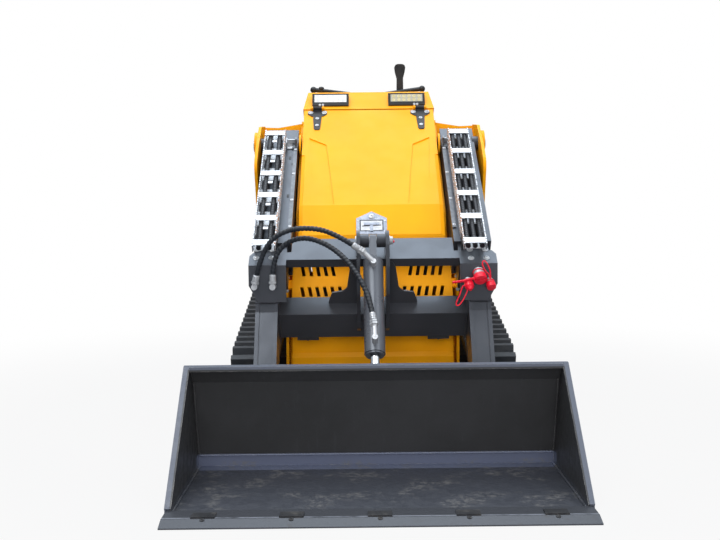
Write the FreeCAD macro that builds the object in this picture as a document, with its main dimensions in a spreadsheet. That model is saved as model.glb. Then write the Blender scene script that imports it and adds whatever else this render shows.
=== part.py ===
"""Stand-on compact track loader with twin telescopic booms and a bucket, in millimetres.

Frame: +Z up, the bucket faces -Y, +X is the operator's left. The origin lies on the ground in the
middle of the machine's length. Stations are measured rearwards from the cutting edge's tip, and a
point of the side view is (station, height). The booms have a frame of their own: `reach` runs from
the boom pivot forwards and down along the boom, `rise` runs square to it, upwards.
"""
import FreeCAD, Part
import math
import os
from FreeCAD import Vector

SIZES = [
    # overall
    ("overall_length", 2900, "cutting edge tip to platform edge"),
    # tracks and undercarriage
    ("track_inner", 360, "track's inner side from the middle plane"),
    ("track_width", 180, "rubber track width"),
    ("carcass", 22, "track carcass thickness"),
    ("lug_height", 22, "track lug height"),
    ("lug_pitch", 62, "track lug spacing"),
    ("lug_root", 34, "track lug at its root, along the track"),
    ("lug_crest", 22, "track lug at its crest, along the track"),
    ("front_wheel_station", 1180, "front idler"),
    ("front_wheel_radius", 126, "front idler radius"),
    ("rear_wheel_station", 2280, "rear idler"),
    ("rear_wheel_radius", 106, "rear idler radius"),
    ("sprocket_station", 2140, "drive sprocket"),
    ("sprocket_height", 365, "drive sprocket's centre"),
    ("sprocket_radius", 116, "drive sprocket radius"),
    ("wheel_width", 100, "idler width"),
    ("roller_radius", 60, "bottom roller radius"),
    ("roller_count", 4, "bottom rollers on a side"),
    ("roller_first", 1420, "first roller's station"),
    ("roller_pitch", 200, "roller spacing"),
    ("axle_radius", 20, "idler and roller axles"),
    ("seat_gap", 0.3, "gap between pieces that touch but move"),
    # chassis
    ("side_plate_x", 325, "inside of a chassis side plate"),
    ("side_plate", 10, "chassis side plate thickness"),
    ("chassis_front", 1165, "front end of the side plates"),
    ("chassis_rear", 2400, "rear face of the chassis"),
    ("belly_height", 120, "underside of the belly plate"),
    ("shelf_height", 537, "underside of the shelf over the track"),
    ("plate", 10, "shelf, belly and wall plates"),
    ("nose_height", 640, "side plates beside the grille"),
    ("tie_down_x", 230, "inner side of a tie-down lug"),
    ("tie_down_plate", 20, "tie-down lug"),
    ("tie_down_height", 370, "tie-down hole"),
    ("tie_down_radius", 12, "tie-down hole"),
    # tower
    ("tower_inner_x", 290.5, "inside of the inner tower plate"),
    ("tower_inner_plate", 8, "inner tower plate thickness"),
    ("tower_outer_x", 461, "inside of the outer tower plate"),
    ("tower_outer_plate", 12, "outer tower plate thickness"),
    ("pivot_station", 1620, "boom pivot"),
    ("pivot_height", 1133, "boom pivot"),
    ("trunnion_radius", 30, "boom trunnion radius"),
    ("trunnion_gap", 0.05, "running clearance of pins and trunnions"),
    ("boss_radius", 55, "bosses round the boom trunnions"),
    ("boss_length", 14, "outer trunnion boss"),
    ("inner_boss_radius", 44, "inner tower plate round the boom trunnion"),
    # booms
    ("boom_slope", 36, "degrees below level at rest"),
    ("boom_x", 304, "inner side of the outer boom"),
    ("boom_width", 139, "outer boom width"),
    ("boom_top", 22, "outer boom's top above the pivot"),
    ("boom_depth", 158, "outer boom depth"),
    ("boom_wall", 8, "boom tube wall"),
    ("boom_rear", 85, "outer boom behind the pivot"),
    ("boom_front", 700, "outer boom's front end"),
    ("slide_gap", 5, "gap between the inner and outer boom"),
    ("inner_rear", 50, "inner boom's rear end behind the pivot"),
    ("inner_front", 800, "inner boom's front end"),
    # front frame
    ("fold_reach", 825.5, "front edge of the brackets and the crossbar"),
    ("fold_rise", 18, "top of the brackets' flange"),
    ("flange", 10, "bracket plate thickness"),
    ("flange_length", 75, "bracket's top flange along the boom"),
    ("flange_drop", 134, "bracket's front flange height"),
    ("bracket_x", 316.5, "bracket's inner side"),
    ("bracket_width", 136, "bracket width"),
    ("leg_x", 349, "inner side of a leg"),
    ("leg_width", 81, "leg width"),
    ("leg_side", 14, "leg side plate seen from the front"),
    ("leg_recess", 6, "leg front plate behind its side plates"),
    ("crossbar_setback", 31, "upper crossbar behind the brackets' fold"),
    ("crossbar_depth", 121, "upper crossbar along the boom"),
    ("crossbar_height", 36, "upper crossbar"),
    ("tube_depth", 96, "lower cross tube along the boom"),
    ("tube_height", 115, "lower cross tube across the boom"),
    ("tube_reach", 896, "lower cross tube's front face"),
    ("tube_rise", 161, "lower cross tube's top below the pivot line"),
    ("ear_x", 46.5, "inner side of a cylinder ear"),
    ("ear_plate", 13, "cylinder ear thickness"),
    # tilt linkage
    ("tilt_pin_reach", 757, "tilt cylinder's pin"),
    ("tilt_pin_rise", 73.5, "tilt cylinder's pin"),
    ("tilt_pin_radius", 14.5, "tilt cylinder pin"),
    ("tilt_eye_station", 643, "tilt rod's eye"),
    ("tilt_eye_height", 288, "tilt rod's eye"),
    ("tilt_barrel_radius", 36, "tilt barrel"),
    ("tilt_barrel_start", 90, "tilt barrel from its pin"),
    ("tilt_barrel_end", 460, "tilt barrel's gland end from its pin"),
    ("tilt_lug_width", 25, "cap-end lug"),
    ("rod_radius", 16.5, "cylinder rods"),
    ("rod_gap", 1, "gap round a rod"),
    ("hinge_station", 765, "bucket hinge"),
    ("hinge_height", 130, "bucket hinge"),
    ("hinge_pin_radius", 20, "bucket hinge pins"),
    # lift linkage
    ("lift_x", 379.5, "lift cylinder from the middle plane"),
    ("lift_base_station", 1950, "lift cylinder's base pin"),
    ("lift_base_height", 585, "lift cylinder's base pin"),
    ("lift_eye_reach", 600, "lift rod's eye"),
    ("lift_eye_drop", 195, "lift rod's eye below the pivot line"),
    ("lift_barrel_radius", 32, "lift barrel"),
    ("lift_barrel_length", 600, "base pin to gland end"),
    ("eye_radius", 30, "cylinder eyes"),
    ("eye_width", 40, "cylinder eyes"),
    ("lug", 10, "lugs round the cylinder eyes"),
    ("lug_gap", 2, "gap between an eye and a lug"),
    # drag chain
    ("chain_x", 340, "inner side of a drag chain"),
    ("chain_width", 84, "drag chain width"),
    ("link_height", 28, "chain link height"),
    ("link_plate", 4, "chain link plate"),
    ("rung_width", 30, "chain rung"),
    ("rung_plate", 3, "chain rung thickness"),
    ("rung_pitch", 147, "chain rung spacing"),
    ("chain_top", 94, "chain's top above the pivot line"),
    ("chain_rear", 0.5, "rear end of the chain's bend"),
    ("chain_shift", -12, "both chains, towards the operator's right"),
    ("notch_pitch", 42, "notches between chain links"),
    ("notch_depth", 6, "notches between chain links"),
    ("chain_hose_radius", 9, "hoses in the chains"),
    # hood and console
    ("hood_half", 285, "half the hood's width"),
    ("hood_sheet", 5, "hood sheet"),
    ("hood_skirt", 45, "hood side skirt"),
    ("scoop_depth", 5, "hood's two pressed scoops"),
    ("facet_width", 15, "hood's bevelled side edge"),
    ("latch_half", 60, "half the hood latch plate's width"),
    ("grille_half", 312, "half the grille's width"),
    ("slot_first", 112, "first grille slot from the middle plane"),
    ("slot_count", 6, "grille slots on a side in the lower row"),
    ("slot_pitch", 29.5, "grille slot spacing"),
    ("slot_width", 13.5, "grille slot"),
    ("slot_lean", 9, "grille slot's lean to the outside, foot to top"),
    ("console_half", 290, "half the console's width at its foot"),
    ("console_top_half", 268, "half the console's width at its top"),
    ("sheet", 6, "cover and panel sheets"),
    ("console_foot_height", 1300, "where the console's sides begin to lean in"),
    ("console_top_height", 1400, "where the console is at its narrowest"),
    ("hinge_x", 226, "hood hinges from the middle plane"),
    ("hinge_strap", 38, "hood hinge strap width at its head"),
    ("hinge_toe", 28, "hood hinge strap width at its toe"),
    ("hinge_rise", 12, "hood hinge axis above the hood's sheet"),
    ("hinge_knuckle", 8, "hood hinge knuckle radius"),
    ("hood_pin_radius", 4, "hood hinge pin"),
    ("panel", 8, "control panel thickness"),
    ("panel_half", 215, "half the control panel's width"),
    ("lamp_outer", 250, "outer end of a work light"),
    ("lamp_width", 162, "work light width"),
    ("lamp_rim", 10, "work light housing beside its lens"),
    # bucket
    ("bucket_half", 595, "half the bucket's inner width"),
    ("bucket_side", 12, "bucket side plate"),
    ("bucket_bar", 20, "bucket edge bar width"),
    ("bucket_sheet", 8, "bucket floor and back"),
    ("bucket_heel", 648, "rear end of the bucket floor"),
    ("bucket_height", 372, "top of the bucket"),
    ("edge_overhang", 15, "cutting edge beyond the bucket's inner width"),
    ("tab_pitch", 247, "wear tabs on the cutting edge"),
    ("tab_width", 68, "wear tab"),
    ("edge_length", 122, "cutting edge from its tip"),
    ("edge_plate", 16, "cutting edge thickness"),
    ("attach_half", 455, "half the quick attach plate's width"),
    ("attach_plate", 12, "quick attach plate"),
    # controls and rear
    ("handle_station", 2090, "low grab handles beside the controls"),
    ("handle_outer", 256, "a grab handle's knob from the middle plane"),
    ("handle_inner", 84, "a grab handle's inner post from the middle plane"),
    ("handle_height", 1418, "a grab handle's knob"),
    ("handle_fall", 19, "grab handle's fall from its knob to its inner post"),
    ("stick_x", 153, "joystick from the middle plane"),
    ("stick_station", 2104, "joystick's front face"),
    ("stick_plate", 24, "joystick thickness"),
    ("lever_x", -130, "auxiliary lever from the middle plane"),
    ("lever_station", 2110, "auxiliary lever"),
    ("control_foot", 1335, "where the stick and the levers go into the console"),
    ("pad_half", 230, "half the thigh pad's width"),
    ("engine_half", 240, "half the engine block's width"),
    ("platform_half", 300, "half the platform's width"),
    ("platform_front", 2445, "platform's front edge"),
    ("platform_height", 235, "platform's top"),
    ("platform_plate", 12, "platform plate"),
    # hydraulic hoses
    ("hose_radius", 8.5, "tilt hoses"),
    ("port_gap", 6, "gap from a tilt hose to its port fitting, which swings with the barrel"),
]

doc = FreeCAD.newDocument("CompactTrackLoader")
sheet = doc.addObject("Spreadsheet::Sheet", "Sizes")
for row, (alias, size, note) in enumerate(SIZES, start=1):
    sheet.set(f"A{row}", note)
    sheet.set(f"B{row}", str(size))
    sheet.setAlias(f"B{row}", alias)
doc.recompute()


class Sizes:
    """The sheet's values, read by name."""

    def __getattr__(self, name):
        return float(sheet.get(name))


d = Sizes()
NODES = {}
AXIS_X = Vector(1, 0, 0)


# ---------------------------------------------------------------- places

def spot(station, height, x=0.0):
    """A point of the side view in the machine's frame."""
    return Vector(x, station - d.overall_length / 2, height)


def along(reach, rise=0.0):
    """(station, height) of a point given in the boom's frame."""
    slope = math.radians(d.boom_slope)
    return (
        d.pivot_station - reach * math.cos(slope) - rise * math.sin(slope),
        d.pivot_height - reach * math.sin(slope) + rise * math.cos(slope),
    )


def boom_points(pairs):
    return [along(*pair) for pair in pairs]


def between(start, end, distance, aside=0.0):
    """The point `distance` from start towards end, and `aside` to the front of that line."""
    length = math.dist(start, end)
    along_line = [(b - a) / length for a, b in zip(start, end)]
    return (
        start[0] + along_line[0] * distance + along_line[1] * aside,
        start[1] + along_line[1] * distance - along_line[0] * aside,
    )


# ---------------------------------------------------------------- shapes

def rounded_edges(points):
    """Lines and arcs through side-view points (station, height[, corner radius])."""
    count = len(points)
    corners = []
    for index, point in enumerate(points):
        here = spot(point[0], point[1])
        radius = point[2] if len(point) > 2 else 0
        if not radius:
            corners.append((here, here, here))
            continue
        before = points[index - 1]
        after = points[(index + 1) % count]
        to_before = (spot(before[0], before[1]) - here).normalize()
        to_after = (spot(after[0], after[1]) - here).normalize()
        half = to_before.getAngle(to_after) / 2
        cut = radius / math.tan(half)
        bisector = (to_before + to_after).normalize()
        middle = here + bisector * (radius / math.sin(half) - radius)
        corners.append((here + to_before * cut, middle, here + to_after * cut))
    geometry = []
    for index, (start, middle, end) in enumerate(corners):
        if (start - end).Length > 1e-6:
            geometry.append(Part.Arc(start, middle, end))
        following = corners[(index + 1) % count][0]
        if (following - end).Length > 1e-6:
            geometry.append(Part.LineSegment(end, following))
    return geometry


def side_face(points):
    """A face in the middle plane bounded by a side-view outline."""
    edges = [piece.toShape() for piece in rounded_edges(points)]
    return Part.Face(Part.Wire(Part.__sortEdges__(edges)))


def plate(points, x, width):
    """A side-view outline given thickness along X, from x to x + width."""
    face = side_face(points)
    face.translate(Vector(x, 0, 0))
    return face.extrude(Vector(width, 0, 0))


def disc(place, radius, x, width):
    """A cylinder along X at a side-view place."""
    return Part.makeCylinder(radius, width, spot(place[0], place[1], x), AXIS_X)


def box(x, width, stations, heights):
    """A box from ranges: x to x + width, stations (from, to) and heights (from, to)."""
    corner = spot(stations[0], heights[0], x)
    return Part.makeBox(width, stations[1] - stations[0], heights[1] - heights[0], corner)


def strip(points, thickness):
    """An outline that follows side-view points with a constant thickness below them."""
    lower = []
    for index, point in enumerate(points):
        normals = []
        for a, b in ((index - 1, index), (index, index + 1)):
            if 0 <= a and b < len(points):
                run = (points[b][0] - points[a][0], points[b][1] - points[a][1])
                length = math.hypot(*run)
                normals.append((run[1] / length, -run[0] / length))
        mean = [sum(n[axis] for n in normals) / len(normals) for axis in (0, 1)]
        scale = thickness / (mean[0] ** 2 + mean[1] ** 2)
        lower.append((point[0] + mean[0] * scale, point[1] + mean[1] * scale))
    return list(points) + lower[::-1]


def tube(start, end, outer, inner=0.0):
    """A round bar or pipe between two points."""
    run = end - start
    shape = Part.makeCylinder(outer, run.Length, start, run)
    if inner:
        shape = shape.cut(Part.makeCylinder(inner, run.Length, start, run))
    return shape


def fuse(*shapes):
    joined = shapes[0].multiFuse(list(shapes[1:])) if len(shapes) > 1 else shapes[0]
    return joined.removeSplitter()


def slope_plate(outline, start, end, low, high):
    """A plate on the plane of a side-view line; its outline is given as (x, run along the line)."""
    corners = [spot(*between(start, end, run, low), x) for x, run in outline]
    face = Part.Face(Part.makePolygon(corners + corners[:1]))
    base, lifted = (spot(*between(start, end, 0, aside)) for aside in (low, high))
    return face.extrude(lifted - base)


def front_prism(outline, station, length):
    """A prism that runs rearwards from a station; its outline is given as (x, height)."""
    corners = [spot(station, height, x) for x, height in outline]
    return Part.Face(Part.makePolygon(corners + corners[:1])).extrude(Vector(0, length, 0))


def top_prism(outline, low, high):
    """An upright prism from height low to high; its outline is given as (x, station)."""
    corners = [spot(station, low, x) for x, station in outline]
    return Part.Face(Part.makePolygon(corners + corners[:1])).extrude(Vector(0, 0, high - low))


def mirrored(shape):
    return shape.mirror(Vector(0, 0, 0), AXIS_X)


def pair(shape):
    """A shape and its twin on the other side, as two solids."""
    return Part.makeCompound([shape, mirrored(shape)])


def node(label, shape):
    """A sub-part whose shape is worked out here."""
    feature = doc.addObject("Part::Feature", label)
    feature.Label = label
    feature.Shape = shape
    NODES[label] = feature
    return feature


def cell(name):
    return f"{sheet.Name}.{name}"


def padded(label, outline, start, width, holes=()):
    """A sub-part padded along X from a side-view sketch; start and width are expressions."""
    body = doc.addObject("PartDesign::Body", label)
    plane = next(f for f in body.Origin.OriginFeatures if f.Role == "YZ_Plane")
    sketch = body.newObject("Sketcher::SketchObject", label + "_outline")
    sketch.AttachmentSupport = [(plane, "")]
    sketch.MapMode = "FlatFace"
    sketch.setExpression("AttachmentOffset.Base.z", start)
    for piece in rounded_edges(outline):
        if isinstance(piece, Part.Arc):
            points = [Vector(p.y, p.z, 0) for p in (piece.StartPoint, piece.value(
                (piece.FirstParameter + piece.LastParameter) / 2), piece.EndPoint)]
            sketch.addGeometry(Part.Arc(*points))
        else:
            ends = [Vector(p.y, p.z, 0) for p in (piece.StartPoint, piece.EndPoint)]
            sketch.addGeometry(Part.LineSegment(*ends))
    for station, height, radius in holes:
        centre = spot(station, height)
        circle = Part.Circle(Vector(centre.y, centre.z, 0), Vector(0, 0, 1), radius)
        sketch.addGeometry(circle)
    pad = body.newObject("PartDesign::Pad", label + "_pad")
    pad.Profile = sketch
    pad.setExpression("Length", width)
    sketch.Visibility = False
    body.Label = label
    NODES[label] = body
    return body


# ---------------------------------------------------------------- tracks

def track_circles(grow):
    """The wheels inside the track, as (station, height, radius), grown outwards."""
    belt = d.carcass + d.lug_height
    front = (d.front_wheel_station, d.front_wheel_radius + belt, d.front_wheel_radius + grow)
    rear = (d.rear_wheel_station, d.rear_wheel_radius + belt, d.rear_wheel_radius + grow)
    drive = (d.sprocket_station, d.sprocket_height, d.sprocket_radius + grow)
    return [front, drive, rear]


def loop_face(circles):
    """The face inside a belt pulled round circles given clockwise in the side view."""
    tangents = []
    for (y1, z1, r1), (y2, z2, r2) in zip(circles, circles[1:] + circles[:1]):
        run = math.hypot(y2 - y1, z2 - z1)
        base = math.atan2(z2 - z1, y2 - y1)
        lean = math.acos((r1 - r2) / run)
        angle = base + lean
        away = (math.cos(angle), math.sin(angle))
        tangents.append((
            spot(y1 + away[0] * r1, z1 + away[1] * r1),
            spot(y2 + away[0] * r2, z2 + away[1] * r2),
            angle,
        ))
    edges = []
    for index, (y, z, radius) in enumerate(circles):
        arrive, leave = tangents[index - 1], tangents[index]
        turn = (arrive[2] - leave[2]) % (2 * math.pi)
        middle = arrive[2] - turn / 2
        through = spot(y + radius * math.cos(middle), z + radius * math.sin(middle))
        edges.append(Part.Arc(arrive[1], through, leave[0]).toShape())
        edges.append(Part.LineSegment(leave[0], leave[1]).toShape())
    return Part.Face(Part.Wire(Part.__sortEdges__(edges)))


def loop(grow, x, width):
    face = loop_face(track_circles(grow))
    face.translate(Vector(x, 0, 0))
    return face.extrude(Vector(width, 0, 0))


def track_lugs():
    """The bars round the carcass, one every lug pitch."""
    carcass = loop_face(track_circles(d.carcass)).OuterWire
    crests = loop_face(track_circles(d.carcass + d.lug_height)).OuterWire
    count = round(carcass.Length / d.lug_pitch)
    lugs = []
    for root in carcass.discretize(Number=count + 1)[:-1]:
        crest = crests.distToShape(Part.Vertex(root))[1][0][0]
        away = (crest - root).normalize()
        ahead = away.cross(AXIS_X)
        sunk = root - away * 3
        corners = [
            sunk + ahead * d.lug_root / 2, root + ahead * d.lug_root / 2, crest + ahead * d.lug_crest / 2,
            crest - ahead * d.lug_crest / 2, root - ahead * d.lug_root / 2, sunk - ahead * d.lug_root / 2,
        ]
        face = Part.Face(Part.makePolygon(corners + corners[:1]))
        face.translate(Vector(d.track_inner, 0, 0))
        lugs.append(face.extrude(Vector(d.track_width, 0, 0)))
    return lugs


def build_tracks():
    carcass = loop(d.carcass, d.track_inner, d.track_width)
    belt = carcass.cut(loop(0, d.track_inner - 1, d.track_width + 2))
    track = fuse(belt, *track_lugs())
    node("track_left", track)
    node("track_right", mirrored(track))


def wheel_x():
    return d.track_inner + (d.track_width - d.wheel_width) / 2


def build_wheels():
    front, drive, rear = track_circles(-d.seat_gap)
    idlers = []
    for station, height, radius in (front, rear):
        wheel = disc((station, height), radius, wheel_x(), d.wheel_width)
        for x in (wheel_x() - 1, wheel_x() + d.wheel_width - 17):
            wheel = wheel.cut(disc((station, height), radius - 22, x, 18))
        hub = disc((station, height), 42, wheel_x() - 6, d.wheel_width + 12)
        bore = disc((station, height), d.axle_radius + d.seat_gap, wheel_x() - 8, d.wheel_width + 16)
        idlers.append(fuse(wheel, hub).cut(bore))
    node("idlers", Part.makeCompound(idlers + [mirrored(wheel) for wheel in idlers]))

    drum = disc(drive[:2], drive[2], wheel_x() + 10, d.wheel_width - 20)
    flange_disc = disc(drive[:2], 82, wheel_x() - 12, d.wheel_width + 34)
    motor = disc(drive[:2], 68, d.side_plate_x + d.side_plate, wheel_x() - 12
                 - d.side_plate_x - d.side_plate)
    node("sprockets", pair(fuse(drum, flange_disc, motor)))

    rollers = []
    height = d.carcass + d.lug_height + d.roller_radius + d.seat_gap
    for index in range(int(d.roller_count)):
        place = (d.roller_first + index * d.roller_pitch, height)
        waist = disc(place, d.roller_radius - 14, wheel_x() - 6, d.wheel_width + 12)
        rims = [disc(place, d.roller_radius, x, 34) for x in (wheel_x() - 6, wheel_x() + 72)]
        bore = disc(place, d.axle_radius + d.seat_gap, wheel_x() - 8, d.wheel_width + 16)
        rollers.append(fuse(waist, *rims).cut(bore))
    node("track_rollers", Part.makeCompound(rollers + [mirrored(r) for r in rollers]))


def build_track_frames():
    front, drive, rear = track_circles(0)
    beam_low, beam_high = 178, 262
    first = d.roller_first - 62
    last = d.roller_first + (d.roller_count - 1) * d.roller_pitch + 62
    side = d.side_plate_x + d.side_plate
    beam = box(side, wheel_x() + d.wheel_width - side, (first, last), (beam_low, beam_high))
    pieces = [beam]
    low = d.carcass + d.lug_height + d.roller_radius + d.seat_gap
    hanger = 9
    inner_hanger = wheel_x() - 8 - hanger
    outer_hanger = wheel_x() + d.wheel_width + 8
    for x in (inner_hanger, outer_hanger):
        pieces.append(plate([
            (first, beam_high - 8), (first, low - 22, 8), (last, low - 22, 8), (last, beam_high - 8),
        ], x, hanger))
        pieces.append(plate([
            (front[0] - 34, front[1] - 34, 30), (first + 40, front[1] - 34), (first + 40, front[1] + 34),
            (front[0] - 34, front[1] + 34, 30),
        ], x, hanger))
        pieces.append(plate([
            (last - 40, beam_low), (rear[0] + 30, rear[1] - 30, 28), (rear[0] + 30, rear[1] + 30, 28),
            (last - 40, beam_high - 10),
        ], x, hanger))
    width = outer_hanger + hanger - inner_hanger
    for place in (front[:2], rear[:2]):
        pieces.append(disc(place, d.axle_radius, inner_hanger, width))
    for index in range(int(d.roller_count)):
        pieces.append(disc((d.roller_first + index * d.roller_pitch, low), d.axle_radius,
                           inner_hanger, width))
    pieces.append(box(inner_hanger, width, (first, last), (beam_high - 20, beam_high)))
    frame = fuse(*pieces)
    node("track_frame_left", frame)
    node("track_frame_right", mirrored(frame))


# ---------------------------------------------------------------- chassis

GRILLE_FOOT = (1174, 521)
GRILLE_TOP = (1277, 645)


def panel_tabs():
    """Tabs inside the left side plate that the front panel and the grille are screwed to."""
    start, width = d.side_plate_x - 25, 25
    behind = d.sheet + d.seat_gap
    return [
        box(start, width, (1168.1, 1180), (190, 230)),
        box(start, width, (1181.6, 1192), (440, 480)),
        plate([
            between(GRILLE_FOOT, GRILLE_TOP, run, aside) for run, aside in (
                (50, behind), (90, behind), (90, behind + 10), (50, behind + 10))
        ], start, width),
    ]


def build_chassis():
    side = [
        (d.chassis_front, d.belly_height + 60, 20), (d.chassis_front + 90, d.belly_height, 20),
        (d.chassis_rear, d.belly_height), (d.chassis_rear, d.shelf_height),
        (d.chassis_front + 150, d.shelf_height), (d.chassis_front + 130, d.nose_height, 12),
        (d.chassis_front + 60, d.nose_height - 30, 12), (d.chassis_front, d.shelf_height, 12),
    ]
    walls = plate(side, d.side_plate_x, d.side_plate)
    inside = 2 * d.side_plate_x
    low = d.belly_height
    belly = box(-d.side_plate_x, inside, (d.chassis_front + 90, d.chassis_rear), (low, low + d.plate))
    rear = box(-d.side_plate_x, inside, (d.chassis_rear - d.plate, d.chassis_rear),
               (low + d.plate, d.shelf_height))
    front = box(-d.side_plate_x, inside, (d.chassis_front + 90, d.chassis_front + 100),
                (low + d.plate, low + 330))
    lugs = []
    wall, height, thick = d.chassis_rear, d.tie_down_height, d.tie_down_plate
    for x in (-d.tie_down_x - thick, d.tie_down_x):
        lug = plate([
            (wall, height - 40), (wall + 34, height - 40, 20), (wall + 34, height + 40, 20),
            (wall, height + 40),
        ], x, thick)
        lugs.append(lug.cut(disc((wall + 14, height), d.tie_down_radius, x - 1, thick + 2)))
    walls = fuse(walls, *panel_tabs())
    frame = fuse(walls, mirrored(walls), belly, rear, front, *lugs)
    node("chassis_frame", frame)


def tower_outline():
    """The outer tower plate, nosed round the boom pivot."""
    shelf = d.shelf_height + d.plate
    return [
        (1560, shelf), (1518, 760, 60), (1454, 921, 90), (1402, 1045, 50), (1500, 1129, 20),
        (1640, 1213, 14), (1815, 1228, 30), (2085, 960, 60), (2150, 760, 80), (2165, shelf),
    ]


def inner_outline():
    """The inner tower plate, which stays below the hood's slope and carries the console."""
    shelf = d.shelf_height + d.plate
    return [
        (1292, shelf), (1292, 660), (1268, 722, 20), (1330, 852, 40), (1830, 1250, 10),
        (2235, 1236, 20), (2290, 900), (2340, shelf),
    ]


def build_towers():
    shelf_top = d.shelf_height + d.plate
    outer = plate(tower_outline(), d.tower_outer_x, d.tower_outer_plate)
    pivot = (d.pivot_station, d.pivot_height)
    boss = disc(pivot, d.boss_radius, d.tower_outer_x, d.tower_outer_plate + d.boss_length)
    inner = plate(inner_outline(), d.tower_inner_x, d.tower_inner_plate)
    inner_boss = disc(pivot, d.inner_boss_radius, d.tower_inner_x, d.tower_inner_plate)
    bay = d.tower_outer_x - d.tower_inner_x
    wall_corners = [
        spot(1800, height, x) for x, height in (
            (d.tower_inner_x, 800), (d.tower_outer_x, 800), (d.tower_outer_x, 1222),
            (d.tower_outer_x - 60, 1220), (d.tower_inner_x, 1238))
    ]
    rear_wall = Part.Face(Part.makePolygon(wall_corners + wall_corners[:1])).extrude(Vector(0, d.plate, 0))
    heel = box(d.tower_inner_x, bay, (2090, 2090 + d.plate), (shelf_top, 930))
    shelf = box(d.tower_inner_x, bay + d.tower_outer_plate, (1500, 2250), (d.shelf_height, shelf_top))
    side = d.side_plate_x + d.side_plate
    ledge = box(d.tower_inner_x, side - d.tower_inner_x, (d.chassis_front + 160, 2390),
                (d.shelf_height, shelf_top))
    base = (d.lift_base_station, d.lift_base_height)
    lugs = []
    for x in lug_places():
        lugs.append(plate([
            (base[0] - 45, shelf_top), (base[0] - 30, base[1] + 30, 28), (base[0] + 30, base[1] + 30, 28),
            (base[0] + 45, shelf_top),
        ], x, d.lug))
    first, second = lug_places()
    pin = disc(base, d.tilt_pin_radius, first - 6, second + d.lug + 12 - first)
    tower = fuse(outer, boss, inner, inner_boss, rear_wall, heel, shelf, ledge, pin, *lugs)
    bore = disc(pivot, d.trunnion_radius + d.trunnion_gap, d.tower_inner_x - 1,
                bay + d.tower_outer_plate + d.boss_length + 2)
    tower = tower.cut(bore)
    node("tower_left", tower)
    node("tower_right", mirrored(tower))


def lug_places():
    """X of the two lugs beside a lift cylinder's eye."""
    half = d.eye_width / 2 + d.lug_gap
    return (d.lift_x - half - d.lug, d.lift_x + half)


def build_front():
    foot, top = GRILLE_FOOT, GRILLE_TOP
    width = 2 * d.grille_half
    face = plate(strip([foot, top], d.sheet), -d.grille_half, width)
    slots = []
    wide, lean = d.slot_width, d.slot_lean
    for row_low, row_high, skipped in ((0.03, 0.32, 0), (0.63, 0.95, 1)):
        low = [a + (b - a) * row_low for a, b in zip(foot, top)]
        high = [a + (b - a) * row_high for a, b in zip(foot, top)]
        for index in range(skipped, int(d.slot_count)):
            for side in (-1, 1):
                x = d.slot_first + index * d.slot_pitch
                corners = [
                    spot(low[0] - 30, low[1] + 25, side * x),
                    spot(low[0] - 30, low[1] + 25, side * (x + wide)),
                    spot(high[0] - 30, high[1] + 25, side * (x + wide + lean)),
                    spot(high[0] - 30, high[1] + 25, side * (x + lean)),
                ]
                outline = Part.Face(Part.makePolygon(corners + corners[:1]))
                slots.append(outline.extrude(Vector(0, 60, -50)))
    node("front_grille", face.cut(Part.makeCompound(slots)))

    padded("front_panel", strip([
        (1163, 135), (1160, 290), (1178, 306), (1174, 516.8),
    ], d.sheet), f"-{cell('grille_half')}", f"2 * {cell('grille_half')}")


HOOD_LINE = [(1262, 657), (1198, 728), (1200, 762), (1275, 877), (1788, 1294)]
HOOD_SCOOP = [(256, 208), (239, 499), (222, 583), (147, 654), (160, 500), (183, 257)]
SCOOP_BACK = [(262, 198), (245, 500), (228, 588), (152, 660), (140, 656), (153, 500), (176, 250)]
CONSOLE_FOOT = (1793, 1300)
CONSOLE_CROWN = (1895, 1384)
CONSOLE_CREST = (2030, 1388)
CONSOLE_REAR = (2240, 1246)
REAR_NECK = (2240, 1150)
REAR_WAIST = (2298, 900)
REAR_FOOT = (2392, 560)


def hood_slope():
    """Two places on a line above the hood's upper slope, the first one on the hinge axis."""
    low, top = HOOD_LINE[-2:]
    return between(top, low, 0, d.hinge_rise), between(top, low, 40, d.hinge_rise)


def hood_axis():
    return hood_slope()[0]


def edge_facet(start, end, run):
    """The wedge cut off the hood's left edge, from `run` along a line to the line's end."""
    width, depth = d.facet_width, d.hood_sheet + 0.4
    corners = [
        spot(*between(start, end, run, aside), d.hood_half + x)
        for x, aside in ((-width, 0.01), (1, 0.01), (1, -depth))
    ]
    reach = spot(*between(start, end, math.dist(start, end) + 4)) - spot(*between(start, end, run))
    return Part.Face(Part.makePolygon(corners + corners[:1])).extrude(reach)


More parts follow.
